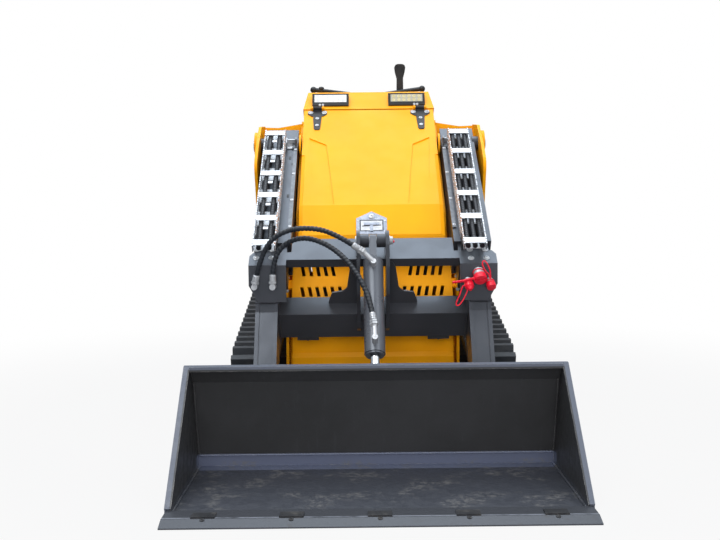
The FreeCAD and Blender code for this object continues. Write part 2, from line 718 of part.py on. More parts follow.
def build_hood():
    line = HOOD_LINE
    top, crease, brow = line[-1], line[-2], line[-3]
    shell = plate(strip(line, d.hood_sheet), -d.hood_half, 2 * d.hood_half)
    skirt = plate(strip(line[2:], d.hood_skirt), d.hood_half - d.hood_sheet, d.hood_sheet)
    cuts, backs = [], []
    for side in (-1, 1):
        scoop = [(side * x, run) for x, run in HOOD_SCOOP]
        back = [(side * x, run) for x, run in SCOOP_BACK]
        cuts.append(slope_plate(scoop, top, crease, -d.scoop_depth, 1))
        backs.append(slope_plate(back, top, crease, -d.hood_sheet - d.scoop_depth, -d.hood_sheet + 1))
    for facet in (edge_facet(top, crease, 330), edge_facet(crease, brow, -4)):
        cuts += [facet, mirrored(facet)]
    node("hood", fuse(shell, skirt, mirrored(skirt), *backs).cut(cuts))

    hinges = []
    half, toe = d.hinge_strap / 2, d.hinge_toe / 2
    for x in (-d.hinge_x, d.hinge_x):
        strap = slope_plate([
            (x - half, 4), (x + half, 4), (x + half, 44), (x + toe, 140), (x + toe - 5, 150),
            (x - toe + 5, 150), (x - toe, 140), (x - half, 44),
        ], top, crease, 0, 4)
        tee = slope_plate([
            (x - 42, 12), (x + 42, 12), (x + 42, 32), (x + 26, 48), (x - 26, 48), (x - 42, 32),
        ], top, crease, 0, 4)
        leaf = plate([
            between(top, crease, 10, 4), between(*hood_slope(), 5), hood_axis(), between(top, crease, 4, 0.5),
        ], x - half, 2 * half)
        knuckle = disc(hood_axis(), d.hinge_knuckle, x - half, 2 * half)
        bore = disc(hood_axis(), d.hood_pin_radius + d.trunnion_gap, x - half - 1, 2 * half + 2)
        hinges.append(fuse(strap, tee, leaf, knuckle).cut(bore))
    node("hood_hinges", Part.makeCompound(hinges))

    half, well = d.latch_half, d.latch_half - 14
    body = slope_plate([(-half, 66), (0, 34), (half, 66), (half, 137), (-half, 137)], crease, brow, 0, 5)
    recess = slope_plate([(-well, 84), (well, 84), (well, 130), (-well, 130)], crease, brow, 2, 6)
    bar = slope_plate([(-30, 88), (30, 88), (30, 98), (-30, 98)], crease, brow, 1, 9)
    stem = slope_plate([(-6, 96), (6, 96), (6, 126), (-6, 126)], crease, brow, 1, 8)
    node("hood_latch", fuse(body.cut(recess), bar, stem))


def tapered(outline):
    """The console's outline as a block whose sides lean in above its foot."""
    block = plate(outline, -d.console_half, 2 * d.console_half)
    foot, top = d.console_foot_height, d.console_top_height
    for side in (-1, 1):
        beside = Part.Face(Part.makePolygon([
            Vector(side * d.console_half, 0, foot), Vector(side * d.console_top_half, 0, top),
            Vector(side * (d.console_half + 60), 0, top), Vector(side * d.console_half, 0, foot),
        ]))
        block = block.cut(beside.extrude(Vector(0, 1000, 0)))
    return block


def hinge_ears(x):
    """The console's two ears and the pin that carry one hood hinge."""
    axis = hood_axis()
    ahead = between(*hood_slope(), 100, 0)
    outline = [
        CONSOLE_FOOT, between(CONSOLE_FOOT, CONSOLE_CROWN, 19), between(CONSOLE_FOOT, CONSOLE_CROWN, 13, -6),
        between(axis, ahead, -5, 7) + (3,), between(axis, ahead, 7, 6) + (3,),
        between(axis, ahead, 6, -4) + (3,),
    ]
    half, ear = d.hinge_strap / 2 + 1.5, 8.5
    ears = [plate(outline, x + start, ear) for start in (-half - ear, half)]
    return fuse(*ears, disc(axis, d.hood_pin_radius, x - half - ear, 2 * (half + ear)))


def grab_handle(side):
    """A low bar beside the controls, from a knob at the outer end down to the console."""
    station, foot = d.handle_station, d.control_foot + 5
    knob = spot(station, d.handle_height, side * d.handle_outer)
    inner = spot(station, d.handle_height - d.handle_fall, side * d.handle_inner)
    run = inner - knob
    bar = Part.makeCone(11, 7, run.Length, knob, run)
    posts = [
        tube(spot(station, foot, side * d.handle_outer), knob, 9),
        tube(spot(station, foot, side * d.handle_inner), inner, 7),
    ]
    return fuse(bar, *posts, Part.makeSphere(15, knob), Part.makeSphere(7, inner))


def joystick():
    """A flat stick that widens to its head."""
    outline = [(19, 0), (16, 65), (15, 135), (23, 165), (26, 187), (21, 198), (10, 202)]
    foot = d.control_foot
    corners = [spot(d.stick_station, foot + rise, d.stick_x + half) for half, rise in outline]
    corners += [spot(d.stick_station, foot + rise, d.stick_x - half) for half, rise in reversed(outline)]
    return Part.Face(Part.makePolygon(corners + corners[:1])).extrude(Vector(0, d.stick_plate, 0))


def build_console():
    outline = [
        CONSOLE_FOOT, CONSOLE_CROWN + (8,), CONSOLE_CREST + (20,), CONSOLE_REAR + (20,), REAR_NECK,
        (1870, 1150), (1870, 1240),
    ]
    block = tapered(outline)
    hollow = plate([
        (1815, 1296), (1900, 1366), (2024, 1370), (2228, 1236), (2228, 1140), (1880, 1140), (1880, 1240),
    ], -d.console_top_half + 22, 2 * d.console_top_half - 44)
    ears = [hinge_ears(side * d.hinge_x) for side in (-1, 1)]
    node("console_housing", fuse(block.cut(hollow), *ears))

    panel_line = [between(CONSOLE_CREST, CONSOLE_REAR, run) for run in (16, 238)]
    panel = strip(panel_line, -d.panel)
    padded("control_panel", panel, f"-{cell('panel_half')}", f"2 * {cell('panel_half')}")

    seat_low, seat_high = (between(CONSOLE_FOOT, CONSOLE_CROWN, rise) for rise in (20, 98))
    face_low, face_high = (1804, 1318), (1820, 1371)
    housings, lenses = [], []
    rim, depth = d.lamp_rim, 4
    for x in (-d.lamp_outer, d.lamp_outer - d.lamp_width):
        housing = plate([seat_low, face_low, face_high, (1856, 1375, 6), seat_high], x, d.lamp_width)
        glass = [(x + rim, 15), (x + d.lamp_width - rim, 15), (x + d.lamp_width - rim, 50), (x + rim, 50)]
        housings.append(housing.cut(slope_plate(glass, face_low, face_high, depth, -1)))
        lenses.append(slope_plate(glass, face_low, face_high, depth, 1))
    node("work_lights", Part.makeCompound(housings))
    node("lamp_lenses", Part.makeCompound(lenses))

    controls = [grab_handle(1), grab_handle(-1), joystick()]
    lever_foot = spot(d.lever_station, d.control_foot, d.lever_x)
    lever = tube(lever_foot, lever_foot + Vector(0, 0, 60), 6)
    controls.append(fuse(lever, Part.makeSphere(13, lever_foot + Vector(0, 0, 67))))
    seats = [
        block.translated(Vector(0, 0, d.seat_gap)),
        plate(strip(panel_line, -d.panel - d.seat_gap), -d.panel_half, 2 * d.panel_half),
    ]
    node("operator_controls", Part.makeCompound([control.cut(seats) for control in controls]))


def build_rear():
    neck, waist = REAR_NECK, REAR_WAIST
    cover = strip([(neck[0], 1235), neck, waist, REAR_FOOT], -d.sheet)
    padded("rear_cover", cover, f"-{cell('tower_inner_x')}", f"2 * {cell('tower_inner_x')}")
    padded("thigh_pad", [
        between(neck, waist, 8, -d.sheet), between(neck, waist, 16, -60) + (20,),
        between(neck, waist, 226, -64) + (20,), between(neck, waist, 234, -d.sheet),
    ], f"-{cell('pad_half')}", f"2 * {cell('pad_half')}")
    top = d.platform_height
    low = top - d.platform_plate
    front, rear = d.platform_front, d.overall_length
    tray = box(-d.platform_half, 2 * d.platform_half, (front, rear), (low, top))
    arms = []
    for x in (-d.platform_half, d.platform_half - 12):
        arms.append(plate([
            (d.chassis_rear, 150), (front + 60, 180), (rear - 30, low - 30, 20), (rear, low),
            (rear, top), (front, top), (d.chassis_rear, 290),
        ], x, 12))
    node("operator_platform", fuse(tray, *arms))
    floor = d.belly_height + d.plate
    block = 260
    padded("engine_block", [
        (1480, block), (1500, block), (1500, floor), (1580, floor), (1580, block), (1980, block),
        (1980, floor), (2060, floor), (2060, block), (2080, block), (2080, 820), (1560, 820), (1480, 700),
    ], f"-{cell('engine_half')}", f"2 * {cell('engine_half')}")


# ---------------------------------------------------------------- booms

def build_outer_booms():
    top, bottom = d.boom_top, d.boom_top - d.boom_depth
    wall = d.boom_wall
    skin = plate(boom_points([
        (-d.boom_rear, top), (d.boom_front, top), (d.boom_front, bottom), (-d.boom_rear, bottom),
    ]), d.boom_x, d.boom_width)
    hollow = plate(boom_points([
        (-d.boom_rear + wall, top - wall), (d.boom_front + 1, top - wall),
        (d.boom_front + 1, bottom + wall), (-d.boom_rear + wall, bottom + wall),
    ]), d.boom_x + wall, d.boom_width - 2 * wall)
    pivot = (d.pivot_station, d.pivot_height)
    inner_start = d.tower_inner_x
    stubs = [
        disc(pivot, d.trunnion_radius, inner_start, d.boom_x + wall - inner_start),
        disc(pivot, d.trunnion_radius, d.boom_x + d.boom_width - wall,
             d.tower_outer_x + d.tower_outer_plate + d.boss_length + 4
             - d.boom_x - d.boom_width + wall),
    ]
    eye = (d.lift_eye_reach, -d.lift_eye_drop)
    lugs = []
    for x, head in zip(lug_places(), (-6, d.lug)):
        lugs.append(plate([
            along(eye[0] - 70, bottom), along(eye[0] - 28, eye[1] - 28) + (26,),
            along(eye[0] + 28, eye[1] - 28) + (26,), along(eye[0] + 70, bottom),
        ], x, d.lug))
        lugs.append(disc(along(*eye), d.tilt_pin_radius, x + head, 6))
    x, width, tube_top, tube_bottom = inner_section()
    gap = d.seat_gap
    pad_x = d.boom_x + wall
    pads = []
    for rise, thick in ((tube_top + gap, top - wall - tube_top - gap),
                        (bottom + wall, tube_bottom - gap - bottom - wall)):
        pads.append(plate(boom_points([
            (d.boom_front - 50, rise), (d.boom_front - 2, rise), (d.boom_front - 2, rise + thick),
            (d.boom_front - 50, rise + thick),
        ]), x + 12, width - 24))
    for start in (pad_x, x + width + gap):
        pads.append(plate(boom_points([
            (d.boom_front - 50, tube_bottom + 12), (d.boom_front - 2, tube_bottom + 12),
            (d.boom_front - 2, tube_top - 12), (d.boom_front - 50, tube_top - 12),
        ]), start, d.slide_gap - gap))
    boom = fuse(skin.cut(hollow), *stubs, *lugs, *pads)
    node("outer_boom_left", boom)
    node("outer_boom_right", mirrored(boom))


def build_boom_guides():
    """The zinc rail along a boom's inner top edge and the chain's bracket at its rear."""
    seat = d.boom_top + d.seat_gap
    rail = plate(boom_points([(60, seat), (620, seat), (620, seat + 5), (60, seat + 5)]), d.boom_x, 15)
    foot = plate(boom_points([(24, seat), (66, seat), (66, seat + 8), (24, seat + 8)]), d.boom_x, 22)
    post = plate(boom_points([
        (28, seat + 7), (60, seat + 7), (52, seat + 40), (34, seat + 40),
    ]), d.boom_x + 2, 8)
    node("boom_guides", pair(fuse(rail, foot, post)))


def inner_section():
    """(x, width, top, bottom) of the inner boom tube."""
    play = d.boom_wall + d.slide_gap
    return (
        d.boom_x + play, d.boom_width - 2 * play,
        d.boom_top - play - 1, d.boom_top - d.boom_depth + play + 1,
    )


def build_inner_booms():
    x, width, top, bottom = inner_section()
    wall = d.boom_wall
    skin = plate(boom_points([
        (-d.inner_rear, top), (d.inner_front, top), (d.inner_front, bottom), (-d.inner_rear, bottom),
    ]), x, width)
    hollow = plate(boom_points([
        (-d.inner_rear - 1, top - wall), (d.inner_front - wall, top - wall),
        (d.inner_front - wall, bottom + wall), (-d.inner_rear - 1, bottom + wall),
    ]), x + wall, width - 2 * wall)
    boom = skin.cut(hollow)
    node("inner_boom_left", boom)
    node("inner_boom_right", mirrored(boom))


def cross_tube_outline():
    front, top = d.tube_reach, -d.tube_rise
    back, bottom = front - d.tube_depth, top - d.tube_height
    return boom_points([(back, top), (front, top), (front, bottom), (back, bottom)])


def crossbar_outline():
    front, top = d.fold_reach - d.crossbar_setback, d.fold_rise
    back, bottom = front - d.crossbar_depth, top - d.crossbar_height
    return boom_points([(back, top), (front, top), (front, bottom), (back, bottom)])


def build_front_frame():
    x, width, top, bottom = inner_section()
    fold = along(d.fold_reach, d.fold_rise)
    under = along(d.fold_reach, d.fold_rise - d.flange)
    back = along(d.fold_reach - d.flange_length, top)
    back_top = along(d.fold_reach - d.flange_length, d.fold_rise)
    top_flange = plate([
        back, back_top, fold, under, along(d.inner_front, top),
    ], d.bracket_x, d.bracket_width)
    front_flange = plate([
        fold, (fold[0], fold[1] - d.flange_drop), (fold[0] + d.flange, fold[1] - d.flange_drop),
        (fold[0] + d.flange, under[1] + 2),
    ], d.bracket_x, d.bracket_width)
    tube_top = along(d.inner_front, top)
    tube_low = along(d.inner_front, bottom)
    plane = fold[0] + d.flange
    foot = (d.hinge_station, d.hinge_height)
    leg = plate([
        (tube_top[0], tube_top[1]), (plane, fold[1] - 8), (plane, fold[1] - d.flange_drop),
        (944, 492), (846, 317, 60), (768, 195, 60), (foot[0] - 45, foot[1] + 8, 30),
        (foot[0] - 30, foot[1] - 40, 30), (foot[0] + 38, foot[1] - 40, 34), (835, 165, 60),
        (950, 278, 80), (1052, 372, 40), (1128, 462, 20), along(720, bottom), tube_low,
    ], d.leg_x, d.leg_width)
    front_line = [(plane, fold[1] - d.flange_drop - 4), (944, 492), (846, 317), (768, 195), (738, 159.4)]
    channel = [
        plate(strip(front_line, depth), d.leg_x + d.leg_side, d.leg_width - 2 * d.leg_side)
        for depth in (-d.leg_recess, 12)
    ]
    cross = plate(cross_tube_outline(), -d.leg_x, 2 * d.leg_x)
    bore = disc(foot, d.hinge_pin_radius + d.trunnion_gap, d.leg_x - 1, d.leg_width + 2)
    outer = d.bracket_x + d.bracket_width
    low = fold[1] - d.flange_drop
    taper = front_prism([(outer + 1, low - 1), (outer - 34, low - 1), (outer + 1, low + 62)],
                        fold[0] - 2, d.flange + 4)
    corner = top_prism([(outer + 1, back[0] + 12), (outer - 28, back[0] + 12), (outer + 1, back[0] - 24)],
                       fold[1] - 20, fold[1] + 120)
    side = fuse(top_flange.cut(corner), front_flange.cut(taper), leg.cut(channel)).cut(bore)
    node("front_frame", fuse(side, mirrored(side), cross))

    bar = plate(crossbar_outline(), -(d.boom_x - d.slide_gap), 2 * (d.boom_x - d.slide_gap))
    ends = []
    front = d.fold_reach - d.crossbar_setback
    back = d.fold_reach - d.flange_length
    low = d.fold_rise - d.crossbar_height
    for side in (1, -1):
        start = d.boom_x - d.slide_gap
        length = d.bracket_x - start
        end = plate(boom_points([
            (back, d.fold_rise), (front, d.fold_rise), (front, low), (back, low),
        ]), start, length)
        ends.append(end if side == 1 else mirrored(end))
    node("upper_crossbar", fuse(bar, *ends))


def build_ears():
    pin = along(d.tilt_pin_reach, d.tilt_pin_rise)
    outline = boom_points([
        (712, 18), (712, 62), (d.tilt_pin_reach - 45, d.tilt_pin_rise + 10),
        (d.tilt_pin_reach, d.tilt_pin_rise + 48), (d.tilt_pin_reach + 46, d.tilt_pin_rise + 20),
        (858, 34), (905, -60), (930, -165), (928, -205), (905, -238), (870, -238), (800, -150),
        (770, -60),
    ])
    radii = [0, 20, 20, 30, 20, 30, 60, 20, 12, 12, 0, 30, 0]
    ear = plate([p + (r,) if r else p for p, r in zip(outline, radii)], d.ear_x, d.ear_plate)
    bars = plate(cross_tube_outline(), 0, 200).fuse(plate(crossbar_outline(), 0, 200))
    ear = ear.cut(bars)
    boss_start = d.tilt_lug_width / 2 + 1.5
    boss = disc(pin, 25, boss_start, d.ear_x - boss_start)
    ear = ear.fuse(boss).cut(disc(pin, d.tilt_pin_radius + d.trunnion_gap, 0, 100))
    half = fuse(ear, ear_wing(d.ear_x + d.ear_plate).cut(bars))
    node("cylinder_ears", pair(half))
    side = d.ear_x + d.ear_plate + d.seat_gap
    caps = [disc(pin, 18, x, 3) for x in (-side - 3, side)]
    node("tilt_pin", fuse(disc(pin, d.tilt_pin_radius, -side - 4, 2 * side + 16), *caps))


def ear_wing(start):
    """The gusset beside an ear, from the lower tube's top up to the crossbar's front."""
    foot, head = along(d.tube_reach - 60, -d.tube_rise), along(797, 10)
    height = math.dist(foot, head)
    toe, curl, waist = Vector(124, 0, 49), Vector(103, 0, 57), Vector(94, 0, 80)
    corners = [
        waist, Vector(84, 0, height - 27), Vector(74, 0, height - 7), Vector(start, 0, height),
        Vector(start, 0, -6), Vector(166, 0, -6), Vector(164, 0, 12), Vector(152, 0, 44), toe,
    ]
    edges = [Part.LineSegment(a, b).toShape() for a, b in zip(corners, corners[1:])]
    edges.append(Part.Arc(toe, curl, waist).toShape())
    wing = Part.Face(Part.Wire(edges)).extrude(Vector(0, 10, 0))
    lean = math.degrees(math.atan2(foot[0] - head[0], head[1] - foot[1]))
    wing.rotate(Vector(0, 0, 0), AXIS_X, lean)
    wing.translate(spot(*foot))
    return wing


def chain_side(link_x, top, low_top, front, anchor, rear_centre):
    """One side band of a drag chain: both strands and the bend, notched between its links."""
    radius = (top - low_top + d.link_height) / 2
    centre = along(rear_centre, top - radius)
    pieces = []
    for strand_top, end in ((top, front), (low_top, anchor)):
        band = plate(boom_points([
            (rear_centre, strand_top), (end, strand_top), (end, strand_top - d.link_height),
            (rear_centre, strand_top - d.link_height),
        ]), link_x, d.link_plate)
        notches = []
        for index in range(int((end - rear_centre) // d.notch_pitch)):
            reach = end - (index + 0.5) * d.notch_pitch
            for edge, depth in ((strand_top, -d.notch_depth), (strand_top - d.link_height, d.notch_depth)):
                notches.append(plate(boom_points([
                    (reach - 7, edge - depth / 10), (reach, edge + depth), (reach + 7, edge - depth / 10),
                ]), link_x - 1, d.link_plate + 2))
        pieces.append(band.cut(notches))
    ring = disc(centre, radius, link_x, d.link_plate)
    ring = ring.cut(disc(centre, radius - d.link_height, link_x, d.link_plate))
    ahead = plate(boom_points([
        (rear_centre, top + 5), (rear_centre + 60, top + 5), (rear_centre + 60, low_top - 60),
        (rear_centre, low_top - 60),
    ]), link_x, d.link_plate)
    return pieces + [ring.cut(ahead)]


def build_chains():
    x, width = d.chain_x, d.chain_width
    top = d.chain_top
    low_top = top - 39
    front = d.fold_reach - 20
    anchor = d.boom_front - 8
    rear_centre = d.chain_rear + (top - low_top + d.link_height) / 2
    pieces = []
    for link_x in (x, x + width - d.link_plate):
        pieces += chain_side(link_x, top, low_top, front, anchor, rear_centre)
        pieces.append(plate(boom_points([
            (front - 88, top - d.link_height), (front - 62, top - d.link_height),
            (front - 62, inner_section()[2]), (front - 88, inner_section()[2]),
        ]), link_x, d.link_plate))
    first = front - 6.5 - d.rung_width
    for strand_top, offset, count in ((top, 0, 6), (low_top, 1.5, 4)):
        for index in range(count):
            start = first - (index + offset) * d.rung_pitch
            for face in (strand_top, strand_top - d.link_height + d.rung_plate):
                pieces.append(plate(boom_points([
                    (start, face), (start + d.rung_width, face),
                    (start + d.rung_width, face - d.rung_plate), (start, face - d.rung_plate),
                ]), x, width))
    chain = fuse(*pieces)
    aside = Vector(d.chain_shift, 0, 0)
    node("drag_chain_left", chain.translated(aside))
    node("drag_chain_right", mirrored(chain).translated(aside))

    hoses = []
    room = width - 2 * d.link_plate
    bend = (top - low_top) / 2
    upper = top - d.link_height + d.rung_plate + d.chain_hose_radius + d.seat_gap
    for side, count in ((1, 3), (-1, 2)):
        for index in range(count):
            hose_x = side * (x + d.link_plate + room * (index + 0.5) / count) + d.chain_shift
            start, turn, back, back_turn, end = (
                spot(*along(*place), hose_x) for place in (
                    (front - 4, upper), (rear_centre, upper), (rear_centre - bend, upper - bend),
                    (rear_centre, upper - 2 * bend), (anchor, upper - 2 * bend)))
            path = Part.Wire([
                Part.LineSegment(start, turn).toShape(), Part.Arc(turn, back, back_turn).toShape(),
                Part.LineSegment(back_turn, end).toShape(),
            ])
            ring = Part.Wire(Part.Circle(start, start - turn, d.chain_hose_radius).toShape())
            hoses.append(path.makePipeShell([ring], True, False))
    node("chain_hoses", Part.makeCompound(hoses))


# ---------------------------------------------------------------- cylinders

def tilt_line():
    return along(d.tilt_pin_reach, d.tilt_pin_rise), (d.tilt_eye_station, d.tilt_eye_height)


def lift_line():
    return (d.lift_base_station, d.lift_base_height), along(d.lift_eye_reach, -d.lift_eye_drop)


def line_tube(line, start, end, outer, inner=0.0, x=0.0):
    first, last = between(*line, start), between(*line, end)
    return tube(spot(*first, x), spot(*last, x), outer, inner)


def build_tilt_cylinder():
    line = tilt_line()
    pin, eye = line
    start, end = d.tilt_barrel_start, d.tilt_barrel_end
    barrel = line_tube(line, start, end, d.tilt_barrel_radius)
    gland = line_tube(line, end - 26, end + 6, d.tilt_barrel_radius - 4)
    bore = line_tube(line, start + 20, end + 8, d.rod_radius + d.rod_gap)
    half = d.tilt_lug_width / 2
    lug = plate([
        between(pin, eye, -22, 22) + (20,), between(pin, eye, -22, -22) + (20,),
        between(pin, eye, start + 4, -26), between(pin, eye, start + 4, 26),
    ], -half, 2 * half)
    hole = disc(pin, d.tilt_pin_radius + d.trunnion_gap, -half - 1, 2 * half + 2)
    node("tilt_barrel", fuse(barrel, gland, lug).cut(hole).cut(bore))

    offset = d.tilt_barrel_radius
    skin = line_tube(line, start - 5, end + 5, offset)
    elbows = []
    for place, rise, label in ((125, 28, "tilt_hose_upper"), (end - 30, 38, "tilt_hose_lower")):
        stub = tube(*(spot(*between(pin, eye, place, aside)) for aside in (offset - 2, offset + rise)), 10)
        before, last = HOSES[label][-2:]
        inwards = (last - before).normalize()
        corner = last + inwards * (d.port_gap + 10)
        arm = [
            tube(spot(*between(pin, eye, place, offset + rise - 8)), corner, 9),
            Part.makeSphere(9, corner), tube(corner, last + inwards * d.port_gap, 9),
        ]
        elbows.append(fuse(stub, *arm).cut(skin))
    node("tilt_port_fittings", Part.makeCompound(elbows))

    length = math.dist(pin, eye)
    rod = line_tube(line, 160, length, d.rod_radius)
    eye_solid = disc(eye, d.eye_radius, -16, 32)
    node("tilt_rod", fuse(rod, eye_solid))


def build_lift_cylinders():
    line = lift_line()
    base, eye = line
    barrel = line_tube(line, 20, d.lift_barrel_length, d.lift_barrel_radius, 0, d.lift_x)
    base_eye = disc(base, d.eye_radius, d.lift_x - d.eye_width / 2, d.eye_width)
    bore = line_tube(line, 50, d.lift_barrel_length + 2, d.rod_radius + d.rod_gap, 0, d.lift_x)
    hole = disc(base, d.tilt_pin_radius + d.trunnion_gap, d.lift_x - 40, 80)
    trimmed = barrel.cut(lug_zone(line))
    node("lift_barrels", pair(fuse(trimmed, base_eye).cut(bore).cut(hole)))
    length = math.dist(base, eye)
    rod = line_tube(line, 62, length, d.rod_radius, 0, d.lift_x)
    eye_solid = disc(eye, d.eye_radius, d.lift_x - d.eye_width / 2, d.eye_width)
    node("lift_rods", pair(fuse(rod, eye_solid)))


def lug_zone(line):
    """The room beside the base eye that the lugs need while the barrel swings."""
    base = line[0]
    wide = 60
    outer = disc(base, 52, d.lift_x - wide, 2 * wide)
    keep = disc(base, 54, d.lift_x - d.eye_width / 2, d.eye_width)
    return outer.cut(keep)


# ---------------------------------------------------------------- bucket

def bucket_back():
    """The outer line of the bucket's back, from the heel to the top edge."""
    return [(d.bucket_heel, 0), (628, 52), (548, 312), (498, d.bucket_height)]


def build_bucket():
    sheet_size = d.bucket_sheet
    heel, knee, lip, top = bucket_back()
    outline = [
        (d.edge_length, 0), heel, knee, lip, top, (top[0] - 10, top[1] - 4), (lip[0] - 12, lip[1] - 3),
        (knee[0] - 12, knee[1] + 2), (heel[0] - 16, sheet_size), (d.edge_length, sheet_size),
    ]
    shell = plate(outline, -d.bucket_half, 2 * d.bucket_half)
    over_edge = d.edge_plate + d.seat_gap
    side = plate([
        (d.edge_length, 0), heel, knee, lip, top, (top[0] - 12, top[1] - 2),
        (d.edge_length - 4, 22), (d.edge_length, over_edge),
    ], d.bucket_half, d.bucket_side)
    bar = plate([
        (d.edge_length, 0), (d.edge_length + 30, 0), (top[0] + 16, top[1] - 16), top,
        (top[0] - 14, top[1] - 2), (d.edge_length - 4, 22), (d.edge_length, over_edge),
    ], d.bucket_half, d.bucket_bar)
    rim = plate([
        top, (top[0] - 30, top[1] - 2), (top[0] - 30, top[1] - 17), (lip[0] - 40, lip[1] + 36),
        (lip[0] - 4, lip[1] + 4),
    ], -d.bucket_half, 2 * d.bucket_half)
    side = fuse(side, bar)
    node("bucket_shell", fuse(shell, rim, side, mirrored(side)))

    half = f"{cell('bucket_half')} + {cell('edge_overhang')}"
    padded("cutting_edge", [
        (0, 0), (d.edge_length, 0), (d.edge_length, d.edge_plate), (42, d.edge_plate), (0, 4),
    ], f"-({half})", f"2 * ({half})")
    tabs = []
    for index in range(-2, 3):
        middle = index * d.tab_pitch
        tabs.append(box(middle - d.tab_width / 2, d.tab_width, (46, 88), (d.edge_plate, d.edge_plate + 4)))
    node("edge_tabs", Part.makeCompound(tabs))


def build_quick_attach():
    heel, knee, lip, top = bucket_back()
    thick = d.attach_plate
    back = plate([
        knee, lip, between(knee, lip, math.dist(knee, lip), thick), between(knee, lip, 0, thick),
    ], -d.attach_half, 2 * d.attach_half)
    hinge = (d.hinge_station, d.hinge_height)
    pieces = [back]
    gap = 5
    rear_low, rear_high = between(knee, lip, 12, thick), between(knee, lip, 225, thick)
    for x in (d.leg_x - gap - 12, d.leg_x + d.leg_width + gap):
        pieces.append(plate([
            rear_low, rear_high, (690, 225, 60), (hinge[0] + 26, hinge[1] + 40, 38),
            (hinge[0] + 36, hinge[1] - 38, 34), (690, 70, 40),
        ], x, 12))
    pin_start = d.leg_x - gap - 12 - 8
    pieces.append(disc(hinge, d.hinge_pin_radius, pin_start, d.leg_width + 2 * gap + 40))
    eye = (d.tilt_eye_station, d.tilt_eye_height)
    mid_low, mid_high = between(knee, lip, 130, thick), between(knee, lip, 268, thick)
    eye_lug_x = 18.5
    pieces.append(plate([
        mid_low, mid_high, (eye[0] + 20, eye[1] + 34, 30), (eye[0] + 34, eye[1] - 26, 30),
    ], eye_lug_x, thick))
    pieces.append(disc(eye, d.tilt_pin_radius, eye_lug_x + thick, 6))
    halves = []
    for piece in pieces[1:]:
        halves += [piece, mirrored(piece)]
    node("quick_attach", fuse(back, *halves))


# ---------------------------------------------------------------- hydraulics

HOSES = {
    "tilt_hose_upper": [
        spot(903, 603, -425), spot(893, 674, -410), spot(882, 762, -364), spot(880, 797, -290),
        spot(880, 797, -196), spot(864, 768, -119), spot(853, 720, -46),
    ],
    "tilt_hose_lower": [
        spot(903, 603, -362), spot(906, 681, -360), spot(908, 741, -322), spot(898, 767, -250),
        spot(872, 745, -172), spot(832, 698, -105), spot(785, 630, -50), spot(746, 552, -14),
        spot(700, 484, -3),
    ],
}


def hose_tube(label, points, radius):
    """A hose of straight runs joined by arcs as large as their runs allow."""
    edges, start = [], points[0]
    radii = []
    for before, corner, after in zip(points, points[1:], points[2:]):
        back, ahead = (before - corner), (after - corner)
        cut = 0.45 * min(back.Length, ahead.Length)
        back_unit, ahead_unit = Vector(back).normalize(), Vector(ahead).normalize()
        turn = math.pi - back_unit.getAngle(ahead_unit)
        bend = cut / math.tan(turn / 2)
        radii.append(round(bend))
        first, last = corner + back_unit * cut, corner + ahead_unit * cut
        bisector = (back_unit + ahead_unit).normalize()
        middle = corner + bisector * (bend / math.cos(turn / 2) - bend)
        edges.append(Part.LineSegment(start, first).toShape())
        edges.append(Part.Arc(first, middle, last).toShape())
        start = last
    edges.append(Part.LineSegment(start, points[-1]).toShape())
    path = Part.Wire(edges)
    ring = Part.Wire(Part.Circle(points[0], points[1] - points[0], radius).toShape())
    solid = path.makePipeShell([ring], True, False)
    expected = math.pi * radius ** 2 * path.Length
    print(label, "radii", radii, "length", round(path.Length), "volume", round(solid.Volume / expected, 4))
    node(label, solid)


def build_hydraulics():
    for label, points in HOSES.items():
        hose_tube(label, points, d.hose_radius)
    plane = along(d.fold_reach, d.fold_rise)[0]
    fittings = []
    for points in HOSES.values():
        outwards = (points[1] - points[0]).normalize()
        mouth = points[0] - outwards * d.seat_gap
        block_centre = mouth - outwards * 16
        plane_point = Vector(block_centre.x, spot(plane, 0).y, block_centre.z)
        fittings.append(fuse(
            tube(block_centre + Vector(0, -10, 0), plane_point, 11),
            tube(block_centre, mouth, 9.5),
        ))
    node("hose_fittings", Part.makeCompound(fittings))

    couplers, caps = [], []
    ahead = Vector(8, -50, -48).normalize()
    for x, height, radius, length in ((380, 636, 19, 24), (342, 605, 12, 16), (421, 603, 12, 16)):
        base = spot(plane, height, x)
        elbow = base + Vector(0, -16, 0)
        neck = 0.7 * radius
        middle = elbow + ahead * length
        couplers.append(fuse(
            tube(base, elbow, neck), Part.makeSphere(neck, elbow), tube(elbow, middle, radius),
        ))
        caps.append(tube(middle, middle + ahead * 22, radius + 4))
    node("quick_couplers", Part.makeCompound(couplers))
    node("coupler_caps", Part.makeCompound(caps))


# ---------------------------------------------------------------- build

build_tracks()
build_wheels()
build_track_frames()
build_chassis()
build_towers()
build_front()
build_hood()
build_console()
build_rear()
build_outer_booms()
build_boom_guides()
build_inner_booms()
build_front_frame()
build_ears()
build_chains()
build_tilt_cylinder()
build_lift_cylinders()
build_bucket()
build_quick_attach()
build_hydraulics()
doc.recompute()

for item in doc.Objects:
    if "Invalid" in item.State or "Error" in item.State:
        raise RuntimeError(f"{item.Label} failed: {item.State}")
os.makedirs("parts", exist_ok=True)
for label, item in NODES.items():
    shape = item.Shape
    if shape.isNull() or not shape.isValid() or not shape.Solids:
        raise RuntimeError(f"{label} has no valid solid")
    shape.exportStep(os.path.join("parts", label + ".step"))
print(len(NODES), "nodes")
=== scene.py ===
"""Looks of the stand-on compact track loader: camera, light, materials and the finer pieces.

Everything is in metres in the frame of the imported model: +Z up, the bucket faces -Y, +X is the
operator's left. A station is measured rearwards from the cutting edge's tip.
"""
import math

import bmesh
import bpy
from mathutils import Matrix, Vector


